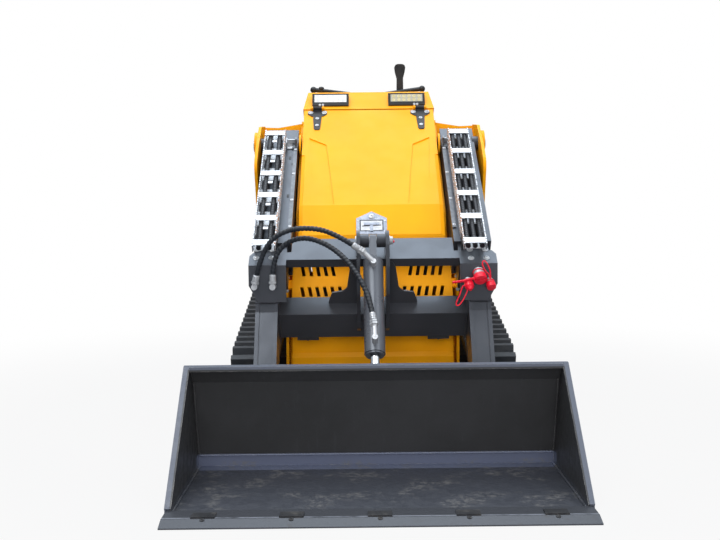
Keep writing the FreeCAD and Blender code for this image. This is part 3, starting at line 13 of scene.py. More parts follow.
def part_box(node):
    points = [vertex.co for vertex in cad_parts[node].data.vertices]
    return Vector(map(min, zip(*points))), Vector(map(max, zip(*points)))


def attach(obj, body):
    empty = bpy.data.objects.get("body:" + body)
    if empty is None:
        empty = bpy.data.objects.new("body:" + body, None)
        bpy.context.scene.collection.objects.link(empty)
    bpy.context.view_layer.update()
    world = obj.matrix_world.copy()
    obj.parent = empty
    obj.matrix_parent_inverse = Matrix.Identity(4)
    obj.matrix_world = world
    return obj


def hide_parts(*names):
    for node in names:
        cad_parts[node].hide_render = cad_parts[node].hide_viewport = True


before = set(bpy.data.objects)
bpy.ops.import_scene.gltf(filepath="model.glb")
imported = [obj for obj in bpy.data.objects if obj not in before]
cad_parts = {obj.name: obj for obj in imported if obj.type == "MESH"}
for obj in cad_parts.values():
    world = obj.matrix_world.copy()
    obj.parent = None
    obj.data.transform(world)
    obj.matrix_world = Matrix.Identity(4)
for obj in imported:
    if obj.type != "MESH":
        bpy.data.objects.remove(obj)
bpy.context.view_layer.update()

CAMERA_PLACE = (-0.0541, -4.1297, 0.8906)
CAMERA_TURN = (0.106, 3.924, 0.603)             # yaw, pitch down and roll, in degrees
CAMERA_LENS, CAMERA_SENSOR = 50, 36             # in millimetres
FLOOR_HALF, FLOOR_DROP = 14, 0.002

# Places in the side view are (station, height).
HALF_LENGTH = 1.45
PIVOT = (1.620, 1.133)
SLOPE = math.radians(36)
BOOM_AHEAD = (0, -math.cos(SLOPE), -math.sin(SLOPE))
HOOD_TOP, HOOD_CREASE, HOOD_BROW = (1.788, 1.294), (1.275, 0.877), (1.200, 0.762)
CONSOLE_CREST, CONSOLE_REAR = (2.030, 1.388), (2.240, 1.246)
REAR_NECK, REAR_WAIST, REAR_FOOT = (2.240, 1.150), (2.298, 0.900), (2.392, 0.560)

# Reaches along the boom from its pivot, and rises above the line through the pivot.
BRACKET_FOLD = (0.8255, 0.018)
TUBE_REACH, TUBE_TOP, TUBE_FOOT = 0.896, -0.163, -0.274
BEAM_TOP = 0.018
TILT_PIN = (0.757, 0.0735)

CHAIN_SIDES = (0.328, -0.436)                   # each chain's side towards -X
CHAIN_WIDTH, LINK_PITCH = 0.084, 0.042
BUCKET_SIDE = 0.592                             # a weld's distance from the middle plane


# ---------------------------------------------------------------- camera

def make_camera():
    """A 50 mm lens in front of the bucket, a little above the hood's brow."""
    yaw, pitch, roll = (math.radians(angle) for angle in CAMERA_TURN)
    forward = Vector((math.sin(yaw) * math.cos(pitch), math.cos(yaw) * math.cos(pitch), -math.sin(pitch)))
    level = Vector((math.cos(yaw), -math.sin(yaw), 0))
    up = level.cross(forward)
    right = level * math.cos(roll) - up * math.sin(roll)
    up = right.cross(forward)
    camera = bpy.data.objects.new("camera", bpy.data.cameras.new("camera"))
    camera.data.sensor_width = CAMERA_SENSOR
    camera.data.lens = CAMERA_LENS
    camera.data.clip_end = 60
    turn = Matrix((right, up, -forward)).transposed().to_4x4()
    camera.matrix_world = Matrix.Translation(CAMERA_PLACE) @ turn
    bpy.context.scene.collection.objects.link(camera)
    bpy.context.scene.camera = camera


make_camera()


# ---------------------------------------------------------------- materials

class Paint:
    """A material built from nodes, with short names for the ones used here."""

    def __init__(self, name):
        self.material = bpy.data.materials.new(name)
        self.material.use_nodes = True
        self.tree = self.material.node_tree
        self.shader = self.tree.nodes["Principled BSDF"]
        self.place = self.add("ShaderNodeTexCoord").outputs["Object"]

    def add(self, kind, inputs=None, **settings):
        made = self.tree.nodes.new(kind)
        for name, value in settings.items():
            setattr(made, name, value)
        for name, value in (inputs or {}).items():
            self.feed(made.inputs[name], value)
        return made

    def feed(self, socket, value):
        if isinstance(value, bpy.types.NodeSocket):
            self.tree.links.new(value, socket)
        else:
            socket.default_value = value

    def noise(self, scale, detail, rough=0.6, stretch=None):
        place = self.place
        if stretch:
            place = self.add("ShaderNodeMapping", {"Vector": place, "Scale": stretch}).outputs[0]
        return self.add("ShaderNodeTexNoise", {
            "Vector": place, "Scale": scale, "Detail": detail, "Roughness": rough}).outputs["Fac"]

    def cells(self, scale):
        """The distance to the nearest of scattered points."""
        return self.add("ShaderNodeTexVoronoi", {"Vector": self.place, "Scale": scale}).outputs["Distance"]

    def ramp(self, value, low, high, start=0.0, end=1.0):
        """A soft step from start to end while the value goes from low to high."""
        return self.add("ShaderNodeMapRange", {
            "Value": value, "From Min": low, "From Max": high, "To Min": start, "To Max": end},
            interpolation_type="SMOOTHSTEP").outputs["Result"]

    def uneven(self, scale, detail, low, high):
        """A value that wanders between low and high."""
        return self.ramp(self.noise(scale, detail), 0.3, 0.7, low, high)

    def math(self, operation, a, b=0.0):
        return self.add("ShaderNodeMath", {0: a, 1: b}, operation=operation).outputs[0]

    def times(self, a, b):
        return self.math("MULTIPLY", a, b)

    def mix(self, share, a, b):
        """The colour a, and b where the share is 1."""
        made = self.add("ShaderNodeMix", data_type="RGBA")
        self.feed(made.inputs[0], share)
        self.feed(made.inputs[6], a)
        self.feed(made.inputs[7], b)
        return made.outputs[2]

    def axis(self, direction):
        """The distance along a direction, in metres."""
        return self.add("ShaderNodeVectorMath", {0: self.place, 1: direction},
                        operation="DOT_PRODUCT").outputs["Value"]

    def waves(self, direction, pitch):
        """A wave from 0 to 1 that repeats every pitch along a direction."""
        turn = self.times(self.axis(direction), 2 * math.pi / pitch)
        return self.ramp(self.math("SINE", turn), -1, 1)

    def edges(self, radius):
        """1 near sharp edges, 0 on flat stretches."""
        smooth = self.add("ShaderNodeBevel", {"Radius": radius}, samples=4).outputs[0]
        sharp = self.add("ShaderNodeNewGeometry").outputs["True Normal"]
        likeness = self.add("ShaderNodeVectorMath", {0: smooth, 1: sharp},
                            operation="DOT_PRODUCT").outputs["Value"]
        return self.ramp(likeness, 0.97, 0.80)

    def low(self, height):
        """1 at the ground, 0 above that height."""
        return self.ramp(self.axis((0, 0, 1)), height, 0.0)

    def bump(self, height, strength, distance):
        made = self.add("ShaderNodeBump", {"Height": height, "Strength": strength, "Distance": distance})
        self.feed(self.shader.inputs["Normal"], made.outputs[0])

    def set(self, **values):
        """The finished material, with these values or sockets on its shader."""
        for name, value in values.items():
            self.feed(self.shader.inputs[name.replace("_", " ")], value)
        return self.material


def rgb(red, green, blue):
    return (red, green, blue, 1.0)


WHITE = rgb(1.0, 1.0, 1.0)
GRIME = rgb(0.22, 0.20, 0.17)
BARE_STEEL = rgb(0.20, 0.20, 0.21)
GRIME_HEIGHT = 0.5


def painted(name, colour, mottled, rough, shine, chips=0.0, dust=0.25, tint=WHITE):
    """Powder coat: fine orange peel, mottling, dust that gathers low down, worn edges."""
    p = Paint(name)
    tone = p.mix(p.ramp(p.noise(3.5, 5), 0.35, 0.7), colour, mottled)
    grime = p.times(p.ramp(p.noise(22, 6, 0.7), 0.45, 0.75), p.low(GRIME_HEIGHT))
    tone = p.mix(p.times(grime, dust), tone, GRIME)
    if chips:
        worn = p.times(p.edges(0.0022), p.ramp(p.noise(60, 4, 0.7), 0.50, 0.62))
        tone = p.mix(p.times(worn, chips), tone, BARE_STEEL)
    p.bump(p.noise(900, 2), 0.06, 0.0004)
    return p.set(Base_Color=tone, Roughness=p.uneven(14, 4, rough - 0.06, rough + 0.08),
                 Specular_IOR_Level=shine, Specular_Tint=tint)


def plain(name, first, second, rough, scale, grain, depth=0.0004, **settings):
    """Two close tones mixed by noise, with a fine grain: scale and strength."""
    p = Paint(name)
    p.bump(p.noise(grain[0], 3), grain[1], depth)
    return p.set(Base_Color=p.mix(p.ramp(p.noise(scale, 4), 0.4, 0.7), first, second),
                 Roughness=p.uneven(40, 3, rough - 0.05, rough + 0.07), **settings)


def bucket_steel():
    """Dark paint scuffed in patches on the floor; painted light makes the floor a lighter bluish grey, a
    painted highlight lights the heel strip and a painted reflection the outside and the rim.
    """
    p = Paint("bucket_steel")
    height = p.axis((0, 0, 1))
    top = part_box("bucket_shell")[1].z
    floor = p.ramp(height, 0.030, 0.020)
    tone = p.mix(p.ramp(p.noise(4, 5), 0.3, 0.7), rgb(0.029, 0.029, 0.030), rgb(0.036, 0.036, 0.038))
    # Painted light: the up-facing floor is painted a lighter, bluish grey.
    tone = p.mix(floor, tone, rgb(0.042, 0.045, 0.055))
    # Painted highlight: a bright bluish band along the foot of the back plate, where the floor turns up.
    behind = p.ramp(p.axis((0, 1, 0)), 0.572 - HALF_LENGTH, 0.580 - HALF_LENGTH)
    heel = p.times(behind, p.ramp(height, 0.055, 0.051))
    tone = p.mix(heel, tone, rgb(0.118, 0.134, 0.195))
    # Painted reflection: the outer sides and a band just under the rim are painted a lighter bluish grey.
    outside = p.ramp(p.math("ABSOLUTE", p.axis((1, 0, 0))), 0.5990, 0.6005)
    rim = p.math("MAXIMUM", outside, p.ramp(height, top - 0.012, top - 0.009))
    tone = p.mix(rim, tone, rgb(0.084, 0.094, 0.122))
    patches = p.times(p.ramp(p.noise(7, 3), 0.48, 0.62), p.ramp(p.noise(48, 6, 0.75), 0.46, 0.60))
    tone = p.mix(p.times(p.times(patches, floor), 0.60), tone, rgb(0.150, 0.145, 0.140))
    streaks = p.ramp(p.noise(7, 6, 0.7, stretch=(9, 1, 1)), 0.55, 0.72)
    tone = p.mix(p.times(streaks, 0.08), tone, rgb(0.11, 0.115, 0.13))
    worn = p.times(p.edges(0.003), p.ramp(p.noise(45, 5, 0.7), 0.42, 0.60))
    tone = p.mix(p.times(worn, 0.75), tone, rgb(0.26, 0.25, 0.24))
    p.bump(p.noise(160, 6, 0.65), 0.10, 0.0010)
    return p.set(Base_Color=tone, Roughness=p.uneven(30, 5, 0.36, 0.56))


def edge_steel():
    """The cutting edge: rust in patches, darker behind its step, with a painted highlight as a bright line
    along the step.
    """
    p = Paint("worn_edge_steel")
    rust = p.ramp(p.noise(38, 7, 0.75), 0.56, 0.74)
    station = p.math("ADD", p.axis((0, 1, 0)), HALF_LENGTH)
    tone = p.mix(p.times(rust, 0.6), rgb(0.044, 0.047, 0.056), rgb(0.075, 0.062, 0.050))
    tone = p.mix(p.ramp(station, 0.054, 0.058), tone, rgb(0.036, 0.038, 0.045))
    # Painted highlight: a bright bluish line along the step.
    line = p.times(p.ramp(station, 0.046, 0.048), p.ramp(station, 0.056, 0.053))
    tone = p.mix(p.times(line, p.ramp(p.noise(24, 4), 0.25, 0.55)), tone, rgb(0.20, 0.21, 0.24))
    p.bump(p.noise(220, 5), 0.2, 0.001)
    return p.set(Base_Color=tone, Metallic=0.1, Roughness=p.ramp(rust, 0, 1, 0.42, 0.7))


def chain_steel():
    """Bright rungs, rails with dark links and rusty spots on the inner one, a dark foot."""
    p = Paint("chain_steel")
    aside = p.math("ABSOLUTE", p.math("ADD", p.axis((1, 0, 0)), 0.012))
    rail = p.ramp(p.math("ABSOLUTE", p.math("SUBTRACT", aside, 0.382)), 0.0350, 0.0370)
    spots = p.times(p.ramp(p.cells(120), 0.50, 0.36), p.ramp(aside, 0.352, 0.347))
    tone = p.mix(p.ramp(p.noise(50, 4), 0.4, 0.7), rgb(0.70, 0.73, 0.77), rgb(0.82, 0.85, 0.89))
    tone = p.mix(p.times(spots, rail), tone, rgb(0.46, 0.17, 0.03))
    links = p.ramp(p.waves(BOOM_AHEAD, 0.0145), 0.72, 0.90)
    tone = p.mix(p.times(p.times(links, rail), 0.85), tone, rgb(0.07, 0.07, 0.08))
    pivot = Vector((0, PIVOT[0] - HALF_LENGTH, PIVOT[1]))
    up = Vector((0, -math.sin(SLOPE), math.cos(SLOPE)))
    reach = p.math("SUBTRACT", p.axis(BOOM_AHEAD), pivot.dot(Vector(BOOM_AHEAD)))
    rise = p.math("SUBTRACT", p.axis(tuple(up)), pivot.dot(up))
    foot = p.times(p.ramp(reach, 0.700, 0.705), p.ramp(rise, 0.066, 0.062))
    tone = p.mix(foot, tone, rgb(0.035, 0.036, 0.040))
    p.bump(p.noise(300, 3), 0.10, 0.0005)
    return p.set(Base_Color=tone, Metallic=0.15, Roughness=p.uneven(60, 4, 0.34, 0.5))


def chrome_rod():
    """Polished, with fine scratches."""
    p = Paint("chrome_rod")
    scratches = p.noise(30, 3, stretch=(40, 1, 1))
    tone = p.mix(p.ramp(scratches, 0.4, 0.7), rgb(0.80, 0.81, 0.82), rgb(0.68, 0.69, 0.70))
    return p.set(Base_Color=tone, Metallic=1.0, Roughness=p.ramp(scratches, 0.3, 0.7, 0.07, 0.16))


def track_rubber():
    """Matt rubber with dust in patches."""
    p = Paint("track_rubber")
    dust = p.ramp(p.noise(18, 7, 0.75), 0.42, 0.75)
    p.bump(p.noise(260, 4), 0.3, 0.0008)
    tone = p.mix(p.times(dust, 0.5), rgb(0.028, 0.031, 0.036), rgb(0.090, 0.088, 0.090))
    return p.set(Base_Color=tone, Roughness=p.ramp(dust, 0, 1, 0.55, 0.85))


def ribbed_hose():
    """The chains' hoses, ribbed across, with painted shade in the grooves and the crests painted lighter as a
    painted highlight.
    """
    p = Paint("ribbed_hose")
    ribs = p.waves(BOOM_AHEAD, 0.011)
    p.bump(ribs, 0.8, 0.003)
    # Painted shade and highlight: dark in the grooves, lighter on the crests.
    tone = p.mix(ribs, rgb(0.006, 0.006, 0.008), rgb(0.024, 0.025, 0.029))
    return p.set(Base_Color=tone, Roughness=p.ramp(ribs, 0, 1, 0.5, 0.32))


def foam_pad():
    """Grained foam skin."""
    p = Paint("foam_pad")
    p.bump(p.cells(420), 0.35, 0.0010)
    tone = p.mix(p.ramp(p.noise(10, 5), 0.4, 0.7), rgb(0.014, 0.014, 0.015), rgb(0.028, 0.027, 0.027))
    return p.set(Base_Color=tone, Roughness=p.uneven(50, 3, 0.60, 0.75))


def lamp_lens():
    """A pale lens towards -X and a darker one towards +X."""
    p = Paint("lamp_lens")
    p.bump(p.cells(160), 0.2, 0.001)
    tone = p.mix(p.ramp(p.cells(90), 0.1, 0.5), rgb(0.86, 0.88, 0.90), rgb(0.94, 0.95, 0.96))
    tone = p.mix(p.ramp(p.axis((1, 0, 0)), -0.01, 0.01), tone, rgb(0.46, 0.45, 0.38))
    return p.set(Base_Color=tone, Roughness=p.uneven(80, 2, 0.12, 0.22), Coat_Weight=0.5)


def make_materials():
    return {
        "yellow": painted("yellow_powder_coat", rgb(0.95, 0.390, 0.004), rgb(0.90, 0.360, 0.004),
                          0.44, 0.15, dust=0.08),
        "dark": painted("dark_powder_coat", rgb(0.016, 0.016, 0.018), rgb(0.026, 0.025, 0.026),
                        0.48, 0.3, chips=0.4),
        "grey": painted("grey_powder_coat", rgb(0.026, 0.026, 0.029), rgb(0.036, 0.036, 0.041),
                        0.36, 0.95, chips=0.35, tint=rgb(0.80, 0.88, 1.0)),
        "silver": painted("silver_grey_paint", rgb(0.066, 0.069, 0.080), rgb(0.086, 0.089, 0.100),
                          0.30, 0.95, chips=0.3, tint=rgb(0.84, 0.91, 1.0)),
        "bucket": bucket_steel(),
        "edge": edge_steel(),
        "zinc": plain("zinc_plate", rgb(0.50, 0.51, 0.53), rgb(0.62, 0.63, 0.65), 0.34, 60, (400, 0.08),
                      Metallic=0.55),
        "latch": plain("latch_steel", rgb(0.33, 0.37, 0.45), rgb(0.42, 0.46, 0.55), 0.30, 60, (300, 0.08),
                       Metallic=0.35),
        "guide": plain("guide_steel", rgb(0.115, 0.120, 0.130), rgb(0.165, 0.170, 0.182), 0.36, 60,
                       (400, 0.08), Metallic=0.50),
        "chain": chain_steel(),
        "chrome": chrome_rod(),
        "rubber": track_rubber(),
        "hose": plain("hose_rubber", rgb(0.010, 0.012, 0.016), rgb(0.019, 0.022, 0.028), 0.40, 25,
                      (500, 0.15)),
        "ribbed": ribbed_hose(),
        "plastic": plain("black_plastic", rgb(0.011, 0.011, 0.012), rgb(0.020, 0.020, 0.021), 0.44, 12,
                         (700, 0.12)),
        "red": plain("red_plastic", rgb(0.80, 0.010, 0.034), rgb(0.68, 0.009, 0.030), 0.30, 30, (300, 0.05)),
        "iron": plain("cast_iron", rgb(0.05, 0.05, 0.055), rgb(0.09, 0.085, 0.08), 0.6, 20,
                      (240, 0.3), depth=0.001),
        "led": plain("lamp_cells", rgb(0.56, 0.49, 0.26), rgb(0.66, 0.60, 0.36), 0.25, 90, (200, 0.1)),
        "gauge": plain("gauge_face", rgb(0.70, 0.72, 0.74), rgb(0.80, 0.81, 0.82), 0.3, 60, (300, 0.04)),
        "pad": foam_pad(),
        "lens": lamp_lens(),
    }


LOOK = make_materials()
NODE_LOOKS = {
    "yellow": ("front_grille", "front_panel", "console_housing", "hood", "tower_left", "tower_right",
               "chassis_frame"),
    "dark": ("track_frame_left", "track_frame_right", "idlers", "sprockets", "track_rollers", "rear_cover",
             "operator_platform", "hood_hinges", "lift_barrels", "edge_tabs"),
    "grey": ("outer_boom_left", "outer_boom_right", "inner_boom_left", "inner_boom_right", "front_frame",
             "upper_crossbar", "cylinder_ears", "quick_attach"),
    "silver": ("tilt_barrel",),
    "bucket": ("bucket_shell",),
    "edge": ("cutting_edge",),
    "latch": ("hood_latch",),
    "zinc": ("tilt_pin", "quick_couplers", "hose_fittings", "tilt_port_fittings"),
    "guide": ("boom_guides",),
    "chain": ("drag_chain_left", "drag_chain_right"),
    "chrome": ("tilt_rod", "lift_rods"),
    "rubber": ("track_left", "track_right"),
    "ribbed": ("chain_hoses",),
    "hose": ("tilt_hose_upper", "tilt_hose_lower"),
    "plastic": ("control_panel", "operator_controls", "work_lights"),
    "pad": ("thigh_pad",),
    "red": ("coupler_caps",),
    "lens": ("lamp_lenses",),
    "iron": ("engine_block",),
}


def dress(piece, look):
    piece.data.materials.clear()
    piece.data.materials.append(LOOK[look])


for look, names in NODE_LOOKS.items():
    for name in names:
        dress(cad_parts[name], look)


# ---------------------------------------------------------------- places

def spot(x, station, height):
    return Vector((x, station - HALF_LENGTH, height))


def along(reach, rise=0.0):
    """(station, height) of a point given in the boom's frame."""
    return (
        PIVOT[0] - reach * math.cos(SLOPE) - rise * math.sin(SLOPE),
        PIVOT[1] - reach * math.sin(SLOPE) + rise * math.cos(SLOPE),
    )


class Slope:
    """A plane through a side-view line; places on it are (x, run along the line, rise outwards)."""

    def __init__(self, start, end):
        length = math.dist(start, end)
        self.start = start
        self.ahead = ((end[0] - start[0]) / length, (end[1] - start[1]) / length)
        self.out = (self.ahead[1], -self.ahead[0])
        if self.out[1] < 0:
            self.out = (-self.out[0], -self.out[1])
        self.normal = Vector((0, *self.out))

    def height(self, station):
        return self.start[1] + (station - self.start[0]) * self.ahead[1] / self.ahead[0]

    def at(self, x, run, rise=0.0):
        return spot(x, self.start[0] + self.ahead[0] * run + self.out[0] * rise,
                    self.start[1] + self.ahead[1] * run + self.out[1] * rise)


BOOM_TOP = Slope(along(0), along(1))
HOOD = Slope(HOOD_TOP, HOOD_CREASE)
HOOD_LOW = Slope(HOOD_CREASE, HOOD_BROW)
LOW_AHEAD = (0, *HOOD_LOW.ahead)
CONSOLE = Slope(CONSOLE_CREST, CONSOLE_REAR)
EDGE_TOP = Slope((0, 0.004), (0.042, 0.016))


# ---------------------------------------------------------------- meshes

def piece(name, bm, look, body, bevel=0.0, angle=35):
    """A finished object from a bmesh: smooth where it turns gently, dressed, riding on its body."""
    for face in bm.faces:
        face.smooth = True
    mesh = bpy.data.meshes.new(name)
    bm.to_mesh(mesh)
    bm.free()
    mesh.set_sharp_from_angle(angle=math.radians(angle))
    made = bpy.data.objects.new(name, mesh)
    bpy.context.scene.collection.objects.link(made)
    if bevel:
        cut = made.modifiers.new("bevel", "BEVEL")
        cut.width, cut.segments, cut.limit_method = bevel, 2, "ANGLE"
    dress(made, look)
    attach(made, body)
    return made


def ring_angles(count):
    return [2 * math.pi * i / count for i in range(count)]


def turned(bm, place, normal, profile, sides):
    """A solid of revolution on a normal: profile is (distance along it, radius) pairs."""
    basis = Vector(normal).to_track_quat("Z", "Y").to_matrix()
    rings = []
    for distance, radius in profile:
        rings.append([
            bm.verts.new(place + basis @ Vector((radius * math.cos(a), radius * math.sin(a), distance)))
            for a in ring_angles(sides)])
    join_rings(bm, rings)


def join_rings(bm, rings, closed=False):
    """A skin over rings of vertices, capped at both ends unless it closes on itself."""
    pairs = list(zip(rings, rings[1:] + rings[:1])) if closed else list(zip(rings, rings[1:]))
    for first, second in pairs:
        count = len(first)
        for i in range(count):
            bm.faces.new((first[i], first[(i + 1) % count], second[(i + 1) % count], second[i]))
    if not closed:
        bm.faces.new(list(reversed(rings[0])))
        bm.faces.new(rings[-1])


def hex_bolt(bm, place, normal, radius, height=0.0):
    """A washer and a hexagon head with a turned crown, standing on a face."""
    height = height or radius * 0.8
    turned(bm, place, normal, [(-0.001, radius * 1.45), (0.0012, radius * 1.45), (0.0018, radius * 1.35)], 18)
    turned(bm, place, normal, [(0.001, radius), (height * 0.8, radius), (height, radius * 0.8)], 6)


def button_bolt(bm, place, normal, radius):
    """A washer and a round domed head with a socket."""
    turned(bm, place, normal, [(-0.001, radius * 1.3), (0.0015, radius * 1.3), (0.002, radius * 1.2)], 20)
    turned(bm, place, normal, [
        (0.0015, radius), (radius * 0.35, radius * 0.93), (radius * 0.6, radius * 0.68),
        (radius * 0.68, radius * 0.36), (radius * 0.4, radius * 0.33)], 20)


def block(bm, centre, size, ahead=(0, 1, 0), up=(0, 0, 1)):
    """A box of size (x, along ahead, along up), tilted."""
    ahead, up = Vector(ahead).normalized(), Vector(up).normalized()
    axes = Matrix((ahead.cross(up), ahead, up)).transposed()
    matrix = Matrix.Translation(centre) @ axes.to_4x4() @ Matrix.Diagonal((*size, 1))
    bmesh.ops.create_cube(bm, size=1, matrix=matrix)


def sweep(bm, path, radius, sides, closed=False):
    """A tube along points; radius is a number or a function of (distance, angle)."""
    size = radius if callable(radius) else lambda distance, angle: radius
    count = len(path)
    rings, distance = [], 0.0
    side = None
    for index, point in enumerate(path):
        after = path[(index + 1) % count] if closed else path[min(index + 1, count - 1)]
        before = path[index - 1] if closed or index else path[0]
        ahead = (after - before).normalized()
        if side is None:
            side = ahead.orthogonal().normalized()
        side = (side - ahead * side.dot(ahead)).normalized()
        other = ahead.cross(side)
        if index:
            distance += (point - path[index - 1]).length
        rings.append([
            bm.verts.new(point + (side * math.cos(a) + other * math.sin(a)) * size(distance, a))
            for a in ring_angles(sides)])
    join_rings(bm, rings, closed)


def smooth_path(points, steps, closed):
    """Points on a Catmull-Rom curve through the given ones."""
    count = len(points)
    spans = range(count) if closed else range(count - 1)
    path = []
    for i in spans:
        p1, p2 = points[i], points[(i + 1) % count]
        p0 = points[i - 1] if closed or i else p1 + (p1 - p2)
        p3 = points[(i + 2) % count] if closed or i + 2 < count else p2 + (p2 - p1)
        for step in range(steps):
            t = step / steps
            path.append(0.5 * (2 * p1 + (p2 - p0) * t + (2 * p0 - 5 * p1 + 4 * p2 - p3) * t ** 2
                               + (3 * p1 - p0 - 3 * p2 + p3) * t ** 3))
    if not closed:
        path.append(points[-1])
    return path


WELD_STEP, WELD_RIPPLE = 0.0025, 0.010


def weld(bm, start, end, radius):
    """A rippled weld bead between two points."""
    def ripple(distance, angle):
        return radius * (0.78 + 0.22 * abs(math.sin(distance * math.pi / WELD_RIPPLE)))

    steps = max(4, int((end - start).length / WELD_STEP))
    sweep(bm, [start.lerp(end, i / steps) for i in range(steps + 1)], ripple, 8)


# ---------------------------------------------------------------- hoses and pad

HOSE_ROUTES = {
    "tilt_hose_upper": [
        spot(-0.425, 0.903, 0.603), spot(-0.410, 0.893, 0.674), spot(-0.364, 0.882, 0.762),
        spot(-0.290, 0.880, 0.797), spot(-0.196, 0.880, 0.797), spot(-0.119, 0.864, 0.768),
        spot(-0.046, 0.853, 0.720),
    ],
    "tilt_hose_lower": [
        spot(-0.362, 0.903, 0.603), spot(-0.360, 0.906, 0.681), spot(-0.322, 0.908, 0.741),
        spot(-0.250, 0.898, 0.767), spot(-0.172, 0.872, 0.745), spot(-0.105, 0.832, 0.698),
        spot(-0.050, 0.785, 0.630), spot(-0.014, 0.746, 0.552), spot(-0.003, 0.700, 0.484),
    ],
}


def spline_points(route):
    """Points read from the smooth line that a route's control points give."""
    curve = bpy.data.curves.new("route", "CURVE")
    curve.dimensions = "3D"
    curve.resolution_u = 32
    spline = curve.splines.new("NURBS")
    spline.points.add(len(route) - 1)
    for point, place in zip(spline.points, route):
        point.co = (*place, 1)
    spline.order_u = 3
    spline.use_endpoint_u = True
    holder = bpy.data.objects.new("route", curve)
    mesh = bpy.data.meshes.new_from_object(holder)
    points = [vertex.co.copy() for vertex in mesh.vertices]
    bpy.data.objects.remove(holder)
    bpy.data.curves.remove(curve)
    bpy.data.meshes.remove(mesh)
    return points


FERRULE_START, FERRULE_RADIUS = 0.0065, 0.0122


def crimp(bm, place, ahead, overlap):
    """A hose's crimped ferrule, which reaches overlap along the hose from its end, and the nut."""
    grooves = [(-0.004, 0.0092), (0.0055, 0.0092), (FERRULE_START, FERRULE_RADIUS)]
    for step in range(1, 4):
        middle = FERRULE_START + (overlap - FERRULE_START) * step / 4
        grooves += [(middle - 0.0016, FERRULE_RADIUS), (middle, 0.0100), (middle + 0.0016, FERRULE_RADIUS)]
    turned(bm, place, ahead, grooves + [(overlap, 0.0118), (overlap + 0.002, 0.0094)], 20)
    turned(bm, place, ahead, [(-0.0050, 0.0126), (-0.0040, 0.0144), (0.0035, 0.0144), (0.0045, 0.0126)], 6)


GUARD_PITCH, GUARD_LOW, GUARD_RIDGE = 0.014, 0.0077, 0.0022


def hose_radius(run, angle):
    """A hose in its spiral guard, a ridge that winds round it."""
    return GUARD_LOW + GUARD_RIDGE * abs(math.sin(math.pi * run / GUARD_PITCH + angle / 2))


def make_hoses():
    """The two tilt hoses with their ferrules, in place of the plain ones."""
    for name, route in HOSE_ROUTES.items():
        path = spline_points(route)
        bm = bmesh.new()
        sweep(bm, path, hose_radius, 20)
        hose = piece(name + "_rubber", bm, "hose", "boom_inner", angle=60)
        bm = bmesh.new()
        crimp(bm, route[0], route[1] - route[0], 0.026)
        crimp(bm, route[-1], route[-2] - route[-1], 0.030)
        ends = piece(name + "_ends", bm, "zinc", "boom_inner")
        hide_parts(name)


PAD_HALF_WIDTH, PAD_HALF_RUN, PAD_MIDDLE = 0.2285, 0.1120, 0.121
PAD_ROUNDNESS = 7


def make_pad():
    """The thigh pad: a rounded slab with a crowned face and two sewn channels across it."""
    wall = Slope(REAR_NECK, REAR_WAIST)
    bm = bmesh.new()
    bmesh.ops.create_cube(bm, size=2)
    bmesh.ops.subdivide_edges(bm, edges=bm.edges[:], cuts=31, use_grid_fill=True)
    for vertex in bm.verts:
        u, v, w = vertex.co
        size = sum(abs(part) ** PAD_ROUNDNESS for part in (u, v, w)) ** (1 / PAD_ROUNDNESS)
        u, v, w = u / size, v / size, w / size
        rise = 0.0325 + 0.0250 * w
        if w > -0.5:
            share = (w + 0.5) / 1.5
            crown = 0.0065 * (1 - u * u) * (1 - v * v)
            seams = sum(math.exp(-((v - seam) / 0.045) ** 2) for seam in (-0.36, 0.36))
            welt = math.exp(-((max(abs(u), abs(v) * 0.97) - 0.88) / 0.03) ** 2)
            rise += share * (crown - 0.0060 * min(1, seams) - 0.0020 * welt)
        squeeze = 1 - 0.012 * math.cos(math.pi * v) * (1 - w * w)
        vertex.co = wall.at(u * PAD_HALF_WIDTH * squeeze, PAD_MIDDLE + v * PAD_HALF_RUN, max(0.0065, rise))
    pad = piece("thigh_pad_foam", bm, "pad", "chassis", angle=80)
    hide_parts("thigh_pad")


make_hoses()
make_pad()


# ---------------------------------------------------------------- bolts and trim

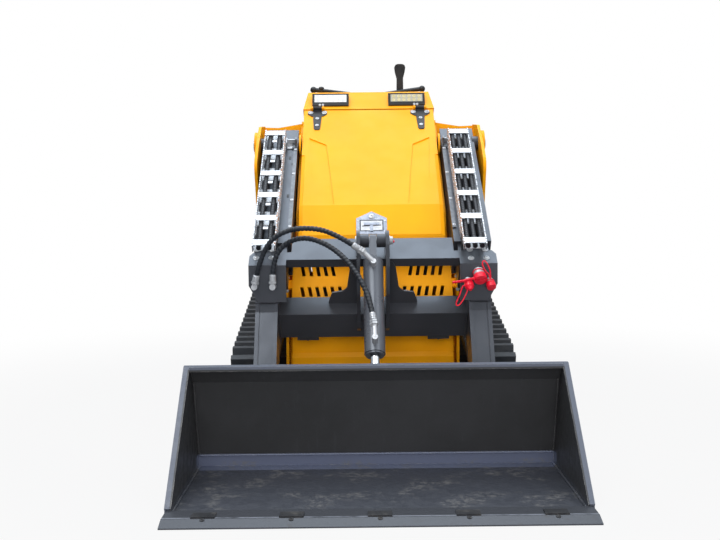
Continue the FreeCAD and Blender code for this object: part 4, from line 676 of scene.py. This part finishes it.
def front_details():
    """Fasteners and trim of the brackets, the crossbar and the tilt cylinder."""
    bm = bmesh.new()
    for x in (-0.427, -0.3705, 0.3585, 0.415):
        for reach in ((0.735, 0.782) if x < 0 else (0.747, 0.796)):
            button_bolt(bm, BOOM_TOP.at(x, reach, BEAM_TOP), BOOM_TOP.normal, 0.0090)
    piece("bracket_bolts", bm, "zinc", "boom_inner")

    fold = along(*BRACKET_FOLD)
    foot = spot(0, fold[0] + 0.009, fold[1] - 0.134 - 0.002)
    tube_front = Slope(along(TUBE_REACH, TUBE_TOP), along(TUBE_REACH, TUBE_FOOT))
    bm = bmesh.new()
    for side in (-1, 1):
        weld(bm, foot + Vector((side * 0.351, 0, 0)), foot + Vector((side * 0.428, 0, 0)), 0.005)
        weld(bm, tube_front.at(side * 0.347, 0.004), tube_front.at(side * 0.347, 0.103), 0.004)
        for x in (0.0465, 0.0595):
            weld(bm, BOOM_TOP.at(side * x, 0.690, BEAM_TOP), BOOM_TOP.at(side * x, 0.782, BEAM_TOP), 0.0035)
    piece("frame_welds", bm, "grey", "boom_inner", angle=60)
    bm = bmesh.new()
    station, height = along(TUBE_REACH, -0.276)
    for side in (-1, 1):
        block(bm, spot(side * 0.2455, station + 0.006, height - 0.004), (0.081, 0.010, 0.016))
        turned(bm, spot(side * 0.2455, station + 0.006, height - 0.0115), (0, 0, -1),
               [(-0.001, 0.004), (0.002, 0.004), (0.003, 0.002)], 12)
    piece("tube_stops", bm, "dark", "boom_inner", 0.001)

    bm = bmesh.new()
    for route in HOSE_ROUTES.values():
        inwards = (route[-1] - route[-2]).normalized()
        for start, radius, long in ((0.0062, 0.0156, 0.0085), (0.0155, 0.0132, 0.0035)):
            turned(bm, route[-1] + inwards * start, inwards, [
                (0, radius - 0.001), (0.001, radius), (long - 0.001, radius), (long, radius - 0.001)], 6)
    piece("port_nuts", bm, "zinc", "tilt_barrel")

    station, height = along(*TILT_PIN)
    bm = bmesh.new()
    turned(bm, spot(0.0710, station, height), (1, 0, 0), [
        (-0.001, 0.0150), (0.001, 0.0150), (0.003, 0.0120), (0.004, 0.0060)], 24)
    piece("tilt_pin_head", bm, "zinc", "boom_inner")
    bm = bmesh.new()
    turned(bm, spot(0.0742, station - 0.004, height - 0.004), (1, 0, 0), [
        (-0.001, 0.0050), (0.003, 0.0050), (0.005, 0.0030)], 14)
    piece("grease_cap", bm, "red", "boom_inner")


def coupler_details():
    """Dished faces and ribs of the couplers' dust caps, and their rings, straps and loops."""
    plane = along(*BRACKET_FOLD)[0]
    ahead = Vector((8, -50, -48)).normalized()
    bm = bmesh.new()
    for x, height, radius, length in ((0.380, 0.636, 0.023, 0.024), (0.342, 0.605, 0.016, 0.016),
                                      (0.421, 0.603, 0.016, 0.016)):
        elbow = spot(x, plane - 0.016, height)
        face = elbow + ahead * (length + 0.022)
        nose = 0.012 if x < 0.35 else 0.0012            # one cap's face stands out in a cone
        turned(bm, face, ahead, [
            (-0.020, radius + 0.0006), (-0.004, radius + 0.0006), (0.0006, radius * 0.88),
            (nose * 0.5, radius * 0.60), (nose, radius * 0.40)], 28)
        side = ahead.orthogonal().normalized()
        for angle in ring_angles(16):
            rib = side * math.cos(angle) + ahead.cross(side) * math.sin(angle)
            block(bm, face - ahead * 0.011 + rib * radius, (0.0020, 0.015, 0.0020), ahead, rib)
        across = Vector((1, 0, 0))
        over = ahead.cross(across).normalized()
        ring = [elbow + ahead * 0.008 + (across * math.cos(a) + over * math.sin(a)) * (radius - 0.0025)
                for a in ring_angles(24)]
        sweep(bm, ring, 0.0020, 8, closed=True)

    def hang(points, closed, radius):
        """A band that hangs in a plane ahead of the bracket."""
        path = smooth_path([spot(x, 0.898, z) for x, z in points], 5, closed)
        sweep(bm, path, radius, 10, closed)

    hang([(0.376, 0.612), (0.352, 0.609), (0.322, 0.602), (0.284, 0.597)], False,
         lambda run, angle: 0.0020 + 0.0036 * abs(math.sin(angle)))
    hang([(0.338, 0.570), (0.323, 0.585), (0.309, 0.550), (0.297, 0.521), (0.305, 0.5135), (0.321, 0.532)],
         True, 0.0024)
    hang([(0.405, 0.634), (0.392, 0.660), (0.396, 0.674), (0.408, 0.664), (0.419, 0.638), (0.421, 0.604),
          (0.414, 0.626)], True, 0.0024)
    piece("dust_cap_straps", bm, "red", "boom_inner")


def boom_details():
    """Black plates as painted shade for the slots in the booms' tops, the chains' rivets, clips and upper
    ends, pins of the pivots.
    """
    out = BOOM_TOP.normal
    bm = bmesh.new()
    for side in (-1, 1):
        # Painted shade: thin black plates stand for the dark inside of the slots.
        for x, reach, long in ((0.332, 0.131, 0.022), (0.319, 0.176, 0.016), (0.328, 0.401, 0.022)):
            block(bm, BOOM_TOP.at(side * x, reach, 0.0222), (0.010, long, 0.0012), BOOM_AHEAD, out)
    piece("boom_slot_shades", bm, "plastic", "boom_outer", 0.0004)

    bm = bmesh.new()
    for side in (-1, 1):
        for reach in (0.075, 0.255, 0.435, 0.605):
            button_bolt(bm, BOOM_TOP.at(side * 0.3115, reach, 0.0271), out, 0.0050)
        turned(bm, Vector((side * 0.491, PIVOT[0] - HALF_LENGTH, PIVOT[1])), (side, 0, 0), [
            (-0.001, 0.026), (0.0015, 0.026), (0.002, 0.024), (0.002, 0.008), (0.003, 0.006)], 28)
        block(bm, BOOM_TOP.at(side * 0.333, 0.045, 0.0245), (0.036, 0.040, 0.004), BOOM_AHEAD, out)
        block(bm, BOOM_TOP.at(side * 0.349, 0.045, 0.0390), (0.004, 0.040, 0.032), BOOM_AHEAD, out)
        block(bm, BOOM_TOP.at(side * 0.330, 0.028, 0.0350), (0.034, 0.004, 0.024), BOOM_AHEAD, out)
    piece("boom_fasteners", bm, "zinc", "boom_outer")

    bm = bmesh.new()
    rivet = [(-0.0005, 0.0046), (0.0012, 0.0042), (0.0020, 0.0022)]
    for start in CHAIN_SIDES:
        for x, normal in ((start, -1), (start + CHAIN_WIDTH, 1)):
            for rise, count in ((0.080, 18), (0.041, 15)):
                for index in range(count):
                    place = BOOM_TOP.at(x, 0.055 + index * LINK_PITCH, rise)
                    turned(bm, place, (normal, 0, 0), rivet, 10)
        for index in range(5 if start < 0 else 0):
            place = BOOM_TOP.at(start + CHAIN_WIDTH / 2, 0.690 - index * 0.147, 0.0845)
            block(bm, place, (0.018, 0.013, 0.004), BOOM_AHEAD, out)
    piece("chain_rivets", bm, "zinc", "boom_inner")


def hood_details():
    """Bolts of the hood's hinges, rivets, lock and blank plate of its latch, and black strips as painted
    shade along its recess.
    """
    strap_bolts = ((-0.030, 0.022, 0.0085), (0.030, 0.022, 0.0085), (0, 0.068, 0.006), (0, 0.119, 0.006))
    bm = bmesh.new()
    for side in (-1, 1):
        for across, run, radius in strap_bolts:
            button_bolt(bm, HOOD.at(side * 0.226 + across, run, 0.004), HOOD.normal, radius)
    piece("hinge_bolts", bm, "zinc", "hood")
    bm = bmesh.new()
    for side in (-1, 1):
        for run in (0.078, 0.127):
            turned(bm, HOOD_LOW.at(side * 0.053, run, 0.005), HOOD_LOW.normal,
                   [(-0.001, 0.0045), (0.0012, 0.0040), (0.0020, 0.0020)], 12)
    turned(bm, HOOD_LOW.at(0, 0.058, 0.005), HOOD_LOW.normal, [
        (-0.001, 0.0105), (0.003, 0.0105), (0.004, 0.0090), (0.004, 0.0035), (0.002, 0.0030)], 24)
    piece("latch_rivets", bm, "zinc", "hood")
    out = HOOD_LOW.normal
    # Painted shade: thin black strips along the top and sides of the latch's recess.
    bm = bmesh.new()
    block(bm, HOOD_LOW.at(0, 0.075, 0.0055), (0.090, 0.0030, 0.0014), LOW_AHEAD, out)
    for side in (-1, 1):
        block(bm, HOOD_LOW.at(side * 0.0445, 0.098, 0.0055), (0.0030, 0.047, 0.0014), LOW_AHEAD, out)
    piece("latch_recess_shade", bm, "plastic", "hood", 0.0004)
    bm = bmesh.new()
    block(bm, HOOD_LOW.at(0, 0.0995, 0.0053), (0.084, 0.044, 0.0010), LOW_AHEAD, out)
    piece("latch_plate", bm, "zinc", "hood", 0.0003)
    bm = bmesh.new()
    sweep(bm, [HOOD_LOW.at(x, 0.100 - x * 0.06, 0.0062) for x in (-0.036, -0.012, 0.012, 0.036)], 0.0017, 8)
    piece("latch_wire", bm, "edge", "hood")


def console_details():
    """Lamp cells and bolts, stick boots, and the gauges, switches, stop button and screws of the panel."""
    lamp = Slope((1.804, 1.318), (1.820, 1.371))
    cell = [(-0.0005, 0.0078), (0.0012, 0.0078), (0.0014, 0.0070), (0.0004, 0.0030), (0.0008, 0.0022)]
    cell_pitch = 0.0225
    for x, look in ((-0.169, "gauge"), (0.169, "led")):
        bm = bmesh.new()
        for index in range(6):
            for run in (0.0240, 0.0410):
                turned(bm, lamp.at(x + (index - 2.5) * cell_pitch, run, -0.0012), lamp.normal, cell, 16)
        piece(f"lamp_cells_{look}", bm, look, "chassis")
    bm = bmesh.new()
    for x in (-0.216, -0.203, 0.203, 0.216):
        button_bolt(bm, spot(x, 1.8058, 1.320), lamp.normal, 0.0042)
    piece("lamp_bolts", bm, "zinc", "chassis")

    bm = bmesh.new()
    on_panel = 0.008
    turned(bm, spot(-0.219, 2.090, 1.4160), (0, 0, 1), [
        (-0.004, 0.007), (0.002, 0.012), (0.008, 0.0135), (0.014, 0.011), (0.0165, 0.005)], 24)
    fall = 0.676                                    # the console's slope
    for x, station, radius in ((0.153, 2.116, 0.034), (-0.130, 2.110, 0.022)):
        height = CONSOLE_CREST[1] - (station - CONSOLE_CREST[0]) * fall
        turned(bm, spot(x, station, height - 0.002), CONSOLE.normal, [
            (0.006, radius), (0.012, radius * 1.05), (0.016, radius * 0.88), (0.020, radius * 0.98),
            (0.024, radius * 0.80), (0.028, radius * 0.88), (0.032, radius * 0.70),
            (0.040, radius * 0.62)], 32)
    for x, run, radius in ((-0.02, 0.060, 0.030), (0.06, 0.060, 0.022)):
        turned(bm, CONSOLE.at(x, run, on_panel), CONSOLE.normal, [
            (-0.001, radius), (0.006, radius), (0.007, radius * 0.94), (0.005, radius * 0.86)], 36)
    for index in range(4):
        place = CONSOLE.at(-0.06 + index * 0.04, 0.200, 0.011)
        block(bm, place, (0.020, 0.032, 0.006), (0, *CONSOLE.ahead), CONSOLE.normal)
        block(bm, place + CONSOLE.normal * 0.004, (0.013, 0.022, 0.006),
              (0, CONSOLE.ahead[0], CONSOLE.ahead[1] + 0.12), CONSOLE.normal)
    piece("panel_controls", bm, "plastic", "chassis", 0.0008)

    bm = bmesh.new()
    for x, run, radius in ((-0.02, 0.060, 0.0258), (0.06, 0.060, 0.0188)):
        face = [(-0.001, radius), (0.0022, radius * 0.99)]
        turned(bm, CONSOLE.at(x, run, 0.011), CONSOLE.normal, face, 36)
    piece("panel_gauges", bm, "gauge", "chassis")
    bm = bmesh.new()
    turned(bm, CONSOLE.at(-0.185, 0.190, on_panel), CONSOLE.normal, [
        (-0.001, 0.010), (0.010, 0.010), (0.011, 0.018), (0.018, 0.0185), (0.022, 0.015),
        (0.0235, 0.006)], 32)
    piece("stop_button", bm, "red", "chassis")
    bm = bmesh.new()
    for x in (-0.200, 0.200):
        for run in (0.026, 0.228):
            button_bolt(bm, CONSOLE.at(x, run, on_panel), CONSOLE.normal, 0.0045)
    turned(bm, CONSOLE.at(0.178, 0.190, on_panel), CONSOLE.normal, [
        (-0.001, 0.013), (0.006, 0.013), (0.007, 0.011), (0.0075, 0.004)], 24)
    piece("panel_screws", bm, "zinc", "chassis")


def rear_details():
    """Louvres, a blank plate and a latch on the rear cover, studs on the platform."""
    wall = Slope(REAR_WAIST, REAR_FOOT)
    ahead = (0, *wall.ahead)
    tilted = (0, wall.ahead[0] + 0.30 * wall.out[0], wall.ahead[1] + 0.30 * wall.out[1])
    bm = bmesh.new()
    for column in (-1, 1):
        for index in range(7):
            place = wall.at(column * 0.105, 0.070 + index * 0.026, 0.0080)
            block(bm, place, (0.150, 0.014, 0.0045), tilted, wall.normal)
    for x in (-0.205, 0.205):
        block(bm, wall.at(x, 0.148, 0.0072), (0.012, 0.220, 0.003), ahead, wall.normal)
    piece("rear_louvres", bm, "dark", "chassis", 0.0012)

    bm = bmesh.new()
    block(bm, wall.at(0, 0.300, 0.0064), (0.110, 0.060, 0.0012), ahead, wall.normal)
    for x in (-0.048, 0.048):
        for run in (-0.023, 0.023):
            turned(bm, wall.at(x, 0.300 + run, 0.0068), wall.normal, [(-0.001, 0.0028), (0.0010, 0.0022)], 10)
    for x in (-0.262, 0.262):
        for run in (0.040, 0.180, 0.320):
            hex_bolt(bm, wall.at(x, run, 0.006), wall.normal, 0.0065)
    turned(bm, wall.at(0, 0.042, 0.006), wall.normal, [
        (-0.001, 0.018), (0.003, 0.018), (0.004, 0.016), (0.004, 0.008), (0.002, 0.007)], 28)
    piece("rear_fasteners", bm, "zinc", "chassis")

    floor, front, rear = 0.235, 2.445 - HALF_LENGTH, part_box("operator_platform")[1].y
    stud = [(-0.001, 0.0095), (0.0012, 0.0085), (0.0016, 0.0055), (0.0006, 0.0045)]
    columns, column_pitch, row_pitch = 15, 0.036, 0.034
    bm = bmesh.new()
    for row in range(max(3, int((rear - front - 0.04) / row_pitch))):
        for column in range(columns):
            x = (column - (columns - 1) / 2) * column_pitch + (row % 2) * 0.009
            turned(bm, Vector((x, front + 0.025 + row * row_pitch, floor)), (0, 0, 1), stud, 10)
    piece("platform_studs", bm, "dark", "chassis")


def track_details():
    """Caps and bolts on the wheels' axles, bolts along the frames, screws in the chassis' nose."""
    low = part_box("idlers")[0].z
    frame_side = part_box("track_frame_left")[1].x
    hubs = [(1.180 - HALF_LENGTH, low + 0.126), (2.280 - HALF_LENGTH, low + 0.106)]
    hubs += [(1.420 + index * 0.200 - HALF_LENGTH, low + 0.060 + 0.0003) for index in range(4)]
    bm = bmesh.new()
    for side in (-1, 1):
        for y, z in hubs:
            place = Vector((side * frame_side, y, z))
            turned(bm, place, (side, 0, 0), [(-0.001, 0.018), (0.002, 0.018), (0.003, 0.016)], 20)
            hex_bolt(bm, place + Vector((side * 0.003, 0, 0)), (side, 0, 0), 0.0095, 0.007)
        for index in range(6):
            y = 1.400 + index * 0.130 - HALF_LENGTH
            hex_bolt(bm, Vector((side * frame_side, y, 0.236)), (side, 0, 0), 0.007, 0.005)
        for station, height in ((1.2125, 0.596), (1.1730, 0.548)):
            button_bolt(bm, spot(side * 0.330, station, height), (0, -1, 0.8), 0.0058)
    piece("axle_caps", bm, "zinc", "chassis")


def bucket_details():
    """Bolts of the wear tabs and weld beads along the bucket's plates."""
    bm = bmesh.new()
    tab_pitch, station = 0.247, 0.036
    for index in range(-2, 3):
        button_bolt(bm, spot(index * tab_pitch, station, EDGE_TOP.height(station)), EDGE_TOP.normal, 0.0055)
    piece("edge_bolts", bm, "dark", "bucket")
    bm = bmesh.new()
    for side in (-1, 1):
        x = side * BUCKET_SIDE
        weld(bm, spot(x, 0.130, 0.011), spot(x, 0.618, 0.011), 0.0045)
        weld(bm, spot(x, 0.612, 0.054), spot(x, 0.534, 0.310), 0.0045)
    weld(bm, spot(-0.590, 0.612, 0.050), spot(0.590, 0.612, 0.050), 0.004)
    piece("bucket_welds", bm, "bucket", "bucket", angle=60)


front_details()
coupler_details()
boom_details()
hood_details()
console_details()
rear_details()
track_details()
bucket_details()


# ---------------------------------------------------------------- stage

def make_world():
    """White where the camera looks past the machine; on the machine a softer light, stronger from above."""
    world = bpy.data.worlds.new("studio")
    world.use_nodes = True
    nodes, links = world.node_tree.nodes, world.node_tree.links
    soft = nodes["Background"]
    soft.inputs["Color"].default_value = rgb(0.85, 0.92, 1.0)
    high = nodes.new("ShaderNodeSeparateXYZ")
    links.new(nodes.new("ShaderNodeTexCoord").outputs["Generated"], high.inputs[0])
    fade = nodes.new("ShaderNodeMapRange")
    for name, value in (("From Min", 0.0), ("From Max", 0.9), ("To Min", 0.16), ("To Max", 0.80)):
        fade.inputs[name].default_value = value
    links.new(high.outputs["Z"], fade.inputs["Value"])
    links.new(fade.outputs[0], soft.inputs["Strength"])
    white = nodes.new("ShaderNodeBackground")
    white.inputs["Color"].default_value = WHITE
    path = nodes.new("ShaderNodeLightPath")
    mix = nodes.new("ShaderNodeMixShader")
    links.new(path.outputs["Is Camera Ray"], mix.inputs[0])
    links.new(soft.outputs[0], mix.inputs[1])
    links.new(white.outputs[0], mix.inputs[2])
    links.new(mix.outputs[0], nodes["World Output"].inputs["Surface"])
    bpy.context.scene.world = world


def make_floor():
    """A floor that the camera sees nearly white, and quite white further out; near by it keeps a shadow."""
    mesh = bpy.data.meshes.new("floor")
    bm = bmesh.new()
    bmesh.ops.create_grid(bm, x_segments=2, y_segments=2, size=FLOOR_HALF)
    bm.to_mesh(mesh)
    bm.free()
    floor = bpy.data.objects.new("floor", mesh)
    floor.location.z = -FLOOR_DROP
    bpy.context.scene.collection.objects.link(floor)
    p = Paint("pale_floor")
    p.set(Base_Color=p.mix(p.noise(2, 3), rgb(0.19, 0.19, 0.20), rgb(0.22, 0.22, 0.23)), Roughness=0.9,
          Specular_IOR_Level=0.0)
    glow = p.add("ShaderNodeEmission", {"Color": WHITE, "Strength": 1.0}).outputs[0]
    reach = p.add("ShaderNodeVectorMath", {0: p.place}, operation="LENGTH").outputs["Value"]
    camera_ray = p.add("ShaderNodeLightPath").outputs["Is Camera Ray"]
    seen = p.times(camera_ray, p.ramp(reach, 1.3, 3.6, 0.91, 1.0))
    blend = p.add("ShaderNodeMixShader", {0: seen, 1: p.shader.outputs[0], 2: glow}).outputs[0]
    p.tree.links.new(blend, p.tree.nodes["Material Output"].inputs["Surface"])
    mesh.materials.append(p.material)


def make_lamps():
    """Four area lamps; the low one in front is hidden from reflections."""
    for name, place, size, power, gloss, aim in (
            ("key", (-1.8, -2.8, 5.2), 3.0, 125, True, (0, 0, 0.6)),
            ("fill", (3.2, -3.2, 3.6), 3.2, 62, True, (0, 0, 0.6)),
            ("low_front", (0.0, -4.8, 1.0), 2.4, 120, False, (0, 0, 0.45)),
            ("top", (0.0, 1.2, 5.0), 4.2, 175, True, (0, 0.2, 0.6))):
        lamp = bpy.data.objects.new(name, bpy.data.lights.new(name, "AREA"))
        lamp.data.color = (0.80, 0.90, 1.0) if name == "top" else (1.0, 1.0, 1.0)
        lamp.visible_glossy = gloss
        lamp.data.size = size
        lamp.data.energy = power
        lamp.location = place
        lamp.rotation_euler = (Vector(aim) - Vector(place)).to_track_quat("-Z", "Y").to_euler()
        bpy.context.scene.collection.objects.link(lamp)


make_world()
make_floor()
make_lamps()
bpy.context.scene.view_settings.view_transform = "Standard"
